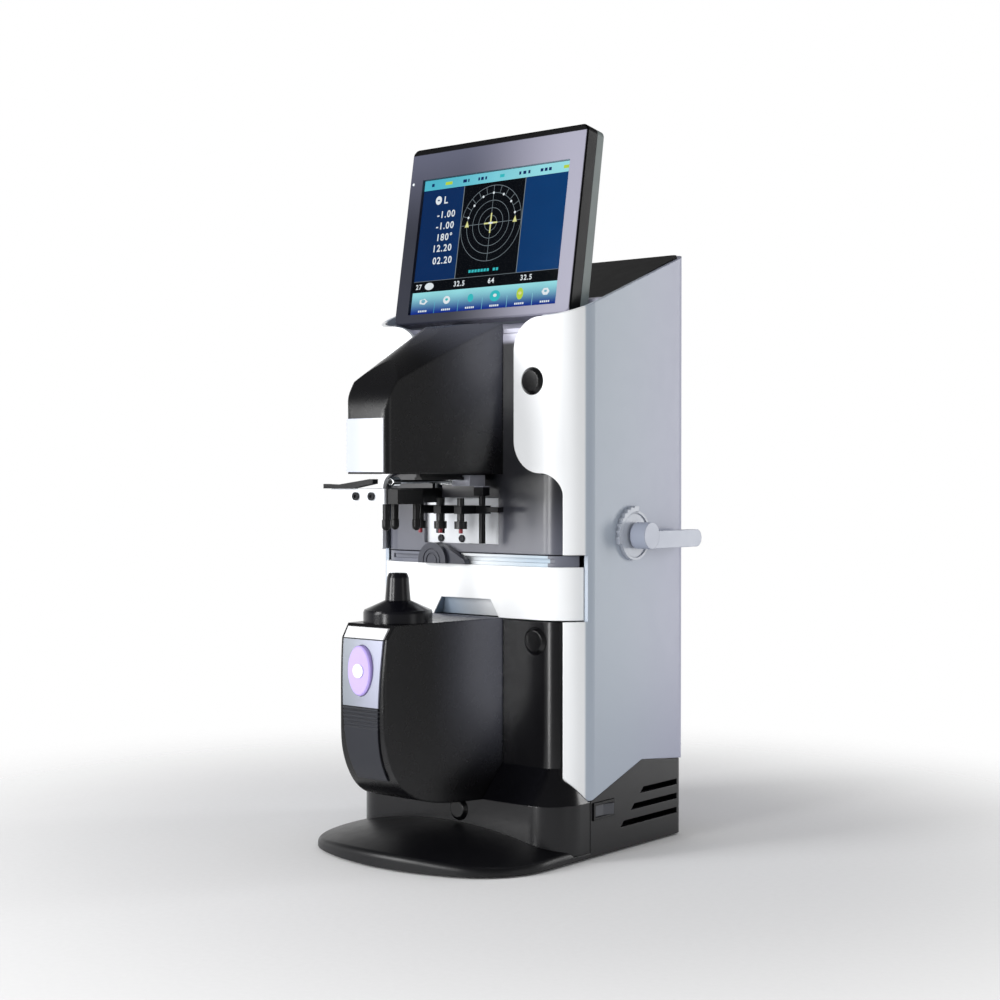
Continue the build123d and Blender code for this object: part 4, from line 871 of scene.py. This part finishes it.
class LENSMETER_OT_display(bpy.types.Operator):
    """Display housing, glass, the lit screen and the status light"""
    bl_idname = "lensmeter.display"
    bl_label = "Display"

    def execute(self, context):
        place = display_place()
        self.finish_housing()
        self.draw_screen(place, context.scene.lensmeter_screen)

        # Clear moulded lens in the left edge of the frame: a small bright point.
        r = context.scene.lensmeter_trim.lamp_radius / MM
        spot = place @ Matrix.Translation((-75.0 * MM, -0.95 * MM, 97 * MM)) @ UPRIGHT
        dome = turned("status_lamp", [(0, -0.8), (r, -0.8), (r, 0.1), (r * 0.7, 0.45), (0, 0.6)], 20, spot)
        lamp = finished("clear_lamp_lens", "#E8EEF2", roughness=0.12, drift=0.02, spread=0.02, grain_mm=1.0,
                        relief_mm=0.002, edge_mm=0.1)
        piece("status_lamp", dome, "display", [lamp])
        return {"FINISHED"}

    def finish_housing(self):
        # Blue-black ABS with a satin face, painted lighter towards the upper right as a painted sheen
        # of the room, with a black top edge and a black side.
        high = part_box("display_frame")[1]
        black_top, black_side = high.z - 4.6 * MM, 69.6 * MM
        made = new_material("satin_violet_black_abs")
        tone = surface(made, linear("#2B2D37"), roughness=0.32, drift=0.08, spread=0.04, grain_mm=0.7,
                       relief_mm=0.004, edge_mm=0.8)
        # Painted sheen: lighter towards the top and towards the right.
        tone = painted(made, tone, along(made, "Z", 420 * MM, 500 * MM), "#565869")
        tone = painted(made, tone, along(made, "X", -40 * MM, 66 * MM), "#9B9AAA")
        tone = painted(made, tone, along(made, "Z", black_top, black_top + 0.6 * MM), "#040406")
        painted(made, tone, along(made, "X", black_side, black_side + 0.8 * MM), "#020203")
        set_shader(made, Specular_IOR_Level=0.1)
        dress(made.material, "display_frame")
        # Grey ABS with a spark-eroded texture: a dry, even grey.
        back = finished("textured_grey_abs", "#7A8483", roughness=0.42, drift=0.05, spread=0.06,
                        relief_mm=0.012, edge_mm=0.6, shine=0.3)
        dress(back, "display_rear_shell")
        # Thin touch glass: nearly clear, with a faint sheen where fingers have smeared it.
        glass = new_material("touch_glass")
        set_shader(glass, Base_Color=(0.01, 0.012, 0.016, 1), IOR=1.5, Alpha=0.10, Specular_IOR_Level=0.2)
        clear(glass, grain_mm=22, detail=3.0, smooth=0.05, rough=0.14)
        dress(glass.material, "touch_glass")
        # Dark film over the screen module, black round the lit picture.
        module = finished("dark_screen_module", "#050608", roughness=0.4, drift=0.1, grain_mm=1.0,
                          edge_mm=0.2)
        dress(module, "lcd_panel")

    def draw_screen(self, place, sizes):
        """The lit picture: panels, keys, marks, target and numbers. No words are drawn."""
        # Lit colours of the screen, in the order of the names below: each keeps the flat look of a
        # backlit picture, and the wide ones fade across it.
        foot = place.translation.z
        finishes = [glow("screen_navy", "#0B2F62", "#0C4078", "X", -60 * MM, 60 * MM),
                    glow("screen_black", "#04060A"),
                    glow("screen_cyan", "#58C6DC", "#A6F0F8", "X", -70 * MM, 55 * MM),
                    glow("screen_white", "#F2FAFF"), glow("screen_yellow", "#EFEFA0"),
                    glow("screen_green", "#C4E24C"), glow("screen_ink", "#0A2C66"),
                    glow("screen_keys", "#0F2E92", "#A4F0F6", "Z", foot, foot + 17 * MM),
                    glow("screen_line", "#7E8A90"), glow("screen_teal", "#3CC8CE")]
        navy, black, cyan, white, yellow, green, ink, keys, line, teal = range(len(finishes))
        draw = Drawing(place)
        target_top = SCREEN_HIGH - TOP_BAR
        divide = 0.3

        # Panels, and the thin lines between them.
        draw.box(-SCREEN_HALF, -TARGET_HALF, TARGET_LOW, target_top, BACK_LAYER, navy)
        draw.box(TARGET_HALF, SCREEN_HALF, TARGET_LOW, target_top, BACK_LAYER, navy)
        draw.box(-TARGET_HALF, TARGET_HALF, TARGET_LOW, target_top, BACK_LAYER, black)
        draw.box(-SCREEN_HALF, SCREEN_HALF, KEY_ROW, TARGET_LOW, BACK_LAYER, black)
        draw.box(-SCREEN_HALF, SCREEN_HALF, target_top, SCREEN_HIGH, BACK_LAYER, cyan)
        draw.box(-SCREEN_HALF, SCREEN_HALF, 0, KEY_ROW, BACK_LAYER, keys)
        for x in (-TARGET_HALF, TARGET_HALF):
            draw.box(x - divide, x + divide, TARGET_LOW, target_top, MIDDLE_LAYER, line)
        draw.box(-SCREEN_HALF, SCREEN_HALF, TARGET_LOW - divide, TARGET_LOW, MIDDLE_LAYER, line)

        # Row of keys: a plain symbol over a short broken line, and a bar between two keys. Each symbol
        # has its colour, radius, squash and corners, and all but one a dot with its colour and radius.
        symbols = ((white, 4.2, 0.55, 5, keys, 1.9), (white, 3.2, 0.9, 28, teal, 1.3),
                   (teal, 2.6, 1.1, 28, None, 0), (teal, 4.6, 0.85, 28, white, 1.6),
                   (green, 3.0, 1.4, 12, yellow, 1.5), (white, 3.4, 0.8, 6, keys, 1.2))
        step = 2 * SCREEN_HALF / len(symbols)
        for i, (tint, radius, squash, corners, dot_tint, dot_radius) in enumerate(symbols):
            edge = -SCREEN_HALF + i * step
            x = edge + step / 2
            draw.disc(x, KEY_ROW * 0.58, radius, MIDDLE_LAYER, tint, squash, corners)
            if dot_radius:
                draw.disc(x, KEY_ROW * 0.60, dot_radius, FRONT_LAYER, dot_tint, 0.7)
            for k in range(-2, 3):
                draw.bar(x + 1.7 * k, 2.65, 0.6, 0.65, MIDDLE_LAYER, white)
            if i:
                draw.box(edge - 0.15, edge + 0.15, 0, KEY_ROW * 0.55, MIDDLE_LAYER, cyan)

        # Top bar: dark marks with a few green and teal ones, each with its middle and width.
        for x, width, tint in ((-58, 2.4, ink), (-43, 6.5, green), (-28, 3.4, ink), (-24.5, 1.2, ink),
                               (-15, 1.6, ink), (-12, 2.4, ink), (-8.6, 1.6, ink), (6, 4.0, teal),
                               (22, 1.8, ink), (26, 2.6, ink), (30, 1.8, ink), (41, 2.4, ink),
                               (44.6, 2.4, ink), (48.2, 2.4, ink), (62, 4.4, green)):
            draw.bar(x, SCREEN_HIGH - TOP_BAR * 0.51, width / 2, TOP_BAR * 0.15, MIDDLE_LAYER, tint)

        # Target: cross hair, yellow cross with a white heart, two side marks and a ring of dots.
        reach = sizes.ring_step * sizes.ring_count / MM
        thin = sizes.line_width / 2 / MM
        draw.bar(0, TARGET_MIDDLE, reach, thin, MIDDLE_LAYER, line)
        draw.bar(0, TARGET_MIDDLE, thin, reach, MIDDLE_LAYER, line)
        draw.bar(0, TARGET_MIDDLE, 6.0, 0.55, FRONT_LAYER, yellow)
        draw.bar(0, TARGET_MIDDLE, 0.55, 7.2, FRONT_LAYER, yellow)
        draw.bar(0, TARGET_MIDDLE, 1.8, 0.7, FRONT_LAYER - 0.02, white)
        for x in (-21.6, 21.6):
            draw.outline(((x - 1.9, TARGET_MIDDLE - 1.2), (x + 1.9, TARGET_MIDDLE - 1.2),
                          (x, TARGET_MIDDLE + 3.4)), FRONT_LAYER, yellow)
        dots_round = reach - sizes.ring_step / MM
        for i in range(7):
            a = math.radians(15 + 25 * i)
            draw.disc(dots_round * math.cos(a), TARGET_MIDDLE + dots_round * math.sin(a), 0.9, FRONT_LAYER,
                      white, corners=10)

        # The message under the target, as short blocks with one gap.
        for k in (0, 1, 2, 3, 4, 5, 6, 8, 9):
            draw.bar(-14.5 + 2.75 * k, TARGET_LOW + 4.0, 1.0, 1.0, MIDDLE_LAYER, teal)
        # An oval beside the first value, and the round mark and letter of the left eye.
        draw.disc(-51, KEY_ROW + VALUE_STRIP / 2, 4.2, MIDDLE_LAYER, white, 0.62)
        draw.disc(-51, 83.5, 2.9, MIDDLE_LAYER, white, 1.1)
        draw.disc(-51, 83.5, 1.1, FRONT_LAYER, navy, 0.5)
        draw.box(-45.6, -44.6, 81.0, 86.0, MIDDLE_LAYER, white)
        draw.box(-45.6, -42.2, 80.6, 81.6, MIDDLE_LAYER, white)
        panels = mesh_of("screen_panels", draw.bm, False)

        # Numbers, each with its size and its middle.
        numbers = [(figures(text, size, place, x, z), white)
                   for text, size, x, z in (("-1.00", 7.0, -42.5, 72.4), ("-1.00", 7.0, -42.5, 64.0),
                                            ("180°", 7.0, -42.0, 55.6), ("12.20", 7.0, -43.0, 47.6),
                                            ("02.20", 7.0, -41.5, 38.6), ("32.5", 5.2, -23.0, 20.4),
                                            ("64", 5.2, 6.0, 20.4), ("32.5", 5.2, 37.0, 20.4),
                                            ("27", 5.0, -61.0, 20.4))]
        rings = grown("target_rings", ring_tree("target_rings", finishes[line]), Step=sizes.ring_step,
                      Rings=sizes.ring_count, Line=sizes.line_width, Ticks=180 // sizes.tick_step + 1)
        lay = Matrix.Translation((0, MIDDLE_LAYER * MM, TARGET_MIDDLE * MM)) @ UPRIGHT
        rings.transform(place @ lay @ Matrix.Diagonal((1, 1, 0.02, 1)))
        mesh = joined("screen_picture", [(panels, None), *numbers, (rings, line)])
        piece("screen_picture", mesh, "display", finishes)


# Small parts that the CAD leaves to this file

def screw_tree(name, material):
    """Screw heads with a recess, one at each given spacing along a row."""
    tree, given = new_tree(name, Radius="NodeSocketFloat", Spacing="NodeSocketFloat", Count="NodeSocketInt")
    step = add(tree, "ShaderNodeCombineXYZ", (), {0: given["Spacing"]})
    row = add(tree, "GeometryNodeMeshLine", {"mode": "OFFSET"},
              {"Count": given["Count"], "Offset": step.outputs[0]})
    deep = add(tree, "ShaderNodeMath", {"operation": "MULTIPLY", 1: 0.55}, {0: given["Radius"]})
    head = add(tree, "GeometryNodeMeshCylinder", {"Vertices": 32, "Side Segments": 1, "Fill Segments": 2},
               {"Radius": given["Radius"], "Depth": deep.outputs[0]})
    hole = add(tree, "ShaderNodeMath", {"operation": "MULTIPLY", 1: 0.42}, {0: given["Radius"]})
    recess = add(tree, "GeometryNodeMeshCylinder", {"Vertices": 6},
                 {"Radius": hole.outputs[0], "Depth": given["Radius"]})
    lift = add(tree, "ShaderNodeCombineXYZ", (), {2: hole.outputs[0]})
    raised = add(tree, "GeometryNodeTransform", (),
                 {"Geometry": recess.outputs["Mesh"], "Translation": lift.outputs[0]})
    cut = add(tree, "GeometryNodeMeshBoolean", {"operation": "DIFFERENCE"}, {"Mesh 1": head.outputs["Mesh"]})
    tree.links.new(raised.outputs[0], cut.inputs["Mesh 2"])
    copies = add(tree, "GeometryNodeInstanceOnPoints", (),
                 {"Points": row.outputs[0], "Instance": cut.outputs["Mesh"]})
    return coated(tree, copies.outputs[0], material)


class LENSMETER_OT_trim(bpy.types.Operator):
    """Retainer screws and the glass of the nosepiece"""
    bl_idname = "lensmeter.trim"
    bl_label = "Small parts"

    def execute(self, context):
        radius = context.scene.lensmeter_trim.screw_radius
        # Black oxide on steel: nearly black, with a hard bright edge round the recess.
        steel = finished("black_oxide_screw", "#1B1C1F", roughness=0.26, drift=0.1, grain_mm=0.3,
                         relief_mm=0.003, edge_mm=0.15, metallic=0.7)
        first_x, spacing = -30 * MM, 14 * MM
        low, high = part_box("retainer_plate")
        heads = grown("retainer_screw_heads", screw_tree("socket_screws", steel), Radius=radius,
                      Spacing=spacing, Count=2)
        spot = Vector((first_x, low.y - radius * 0.275, (low.z + high.z) / 2))
        heads.transform(Matrix.Translation(spot) @ UPRIGHT)
        piece("retainer_screw_heads", heads, "retainer", [])

        # Coated lens glass, seen as a dark blue, mirror-smooth dome down in the tube.
        lens = finished("coated_lens_glass", "#2B3550", roughness=0.05, drift=0.1, spread=0.02,
                        grain_mm=2.0, relief_mm=0.001, edge_mm=0.1)
        below_rim = 2.2 * MM
        low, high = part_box("nosepiece")
        spot = Matrix.Translation(((low.x + high.x) / 2, (low.y + high.y) / 2, high.z - below_rim))
        line = [(0, -0.8), (3.95, -0.8), (3.95, 0), (2.0, 0.25), (0, 0.35)]
        dome = turned("nosepiece_lens", line, 32, spot)
        piece("nosepiece_lens", dome, "body", [lens])
        return {"FINISHED"}


# Panel and registration

class LENSMETER_PT_panel(bpy.types.Panel):
    """Lists the pieces and their sizes"""
    bl_idname = "LENSMETER_PT_panel"
    bl_label = "Lensmeter"
    bl_space_type = "VIEW_3D"
    bl_region_type = "UI"
    bl_category = "Lensmeter"

    def draw(self, context):
        for group_name in GROUPS:
            group = getattr(context.scene, group_name)
            box = self.layout.box()
            for name in group.bl_rna.properties.keys():
                if name not in ("rna_type", "name"):
                    box.prop(group, name)
        for operator in OPERATORS:
            self.layout.operator(operator.bl_idname)


GROUPS = {"lensmeter_studio": LensmeterStudio, "lensmeter_covers": LensmeterCovers,
          "lensmeter_screen": LensmeterScreen, "lensmeter_trim": LensmeterTrim}
OPERATORS = (LENSMETER_OT_stage, LENSMETER_OT_covers, LENSMETER_OT_column, LENSMETER_OT_table,
             LENSMETER_OT_marking, LENSMETER_OT_display, LENSMETER_OT_trim)


def register():
    for kind in (*GROUPS.values(), *OPERATORS, LENSMETER_PT_panel):
        bpy.utils.register_class(kind)
    for name, kind in GROUPS.items():
        setattr(bpy.types.Scene, name, PointerProperty(type=kind))


def unregister():
    for name in GROUPS:
        delattr(bpy.types.Scene, name)
    for kind in (LENSMETER_PT_panel, *reversed(OPERATORS), *reversed(GROUPS.values())):
        bpy.utils.unregister_class(kind)


def main():
    register()
    bpy.ops.lensmeter.stage()
    bpy.ops.lensmeter.covers()
    bpy.ops.lensmeter.column()
    bpy.ops.lensmeter.table()
    bpy.ops.lensmeter.marking()
    bpy.ops.lensmeter.display()
    bpy.ops.lensmeter.trim()


if __name__ == "__main__":
    main()
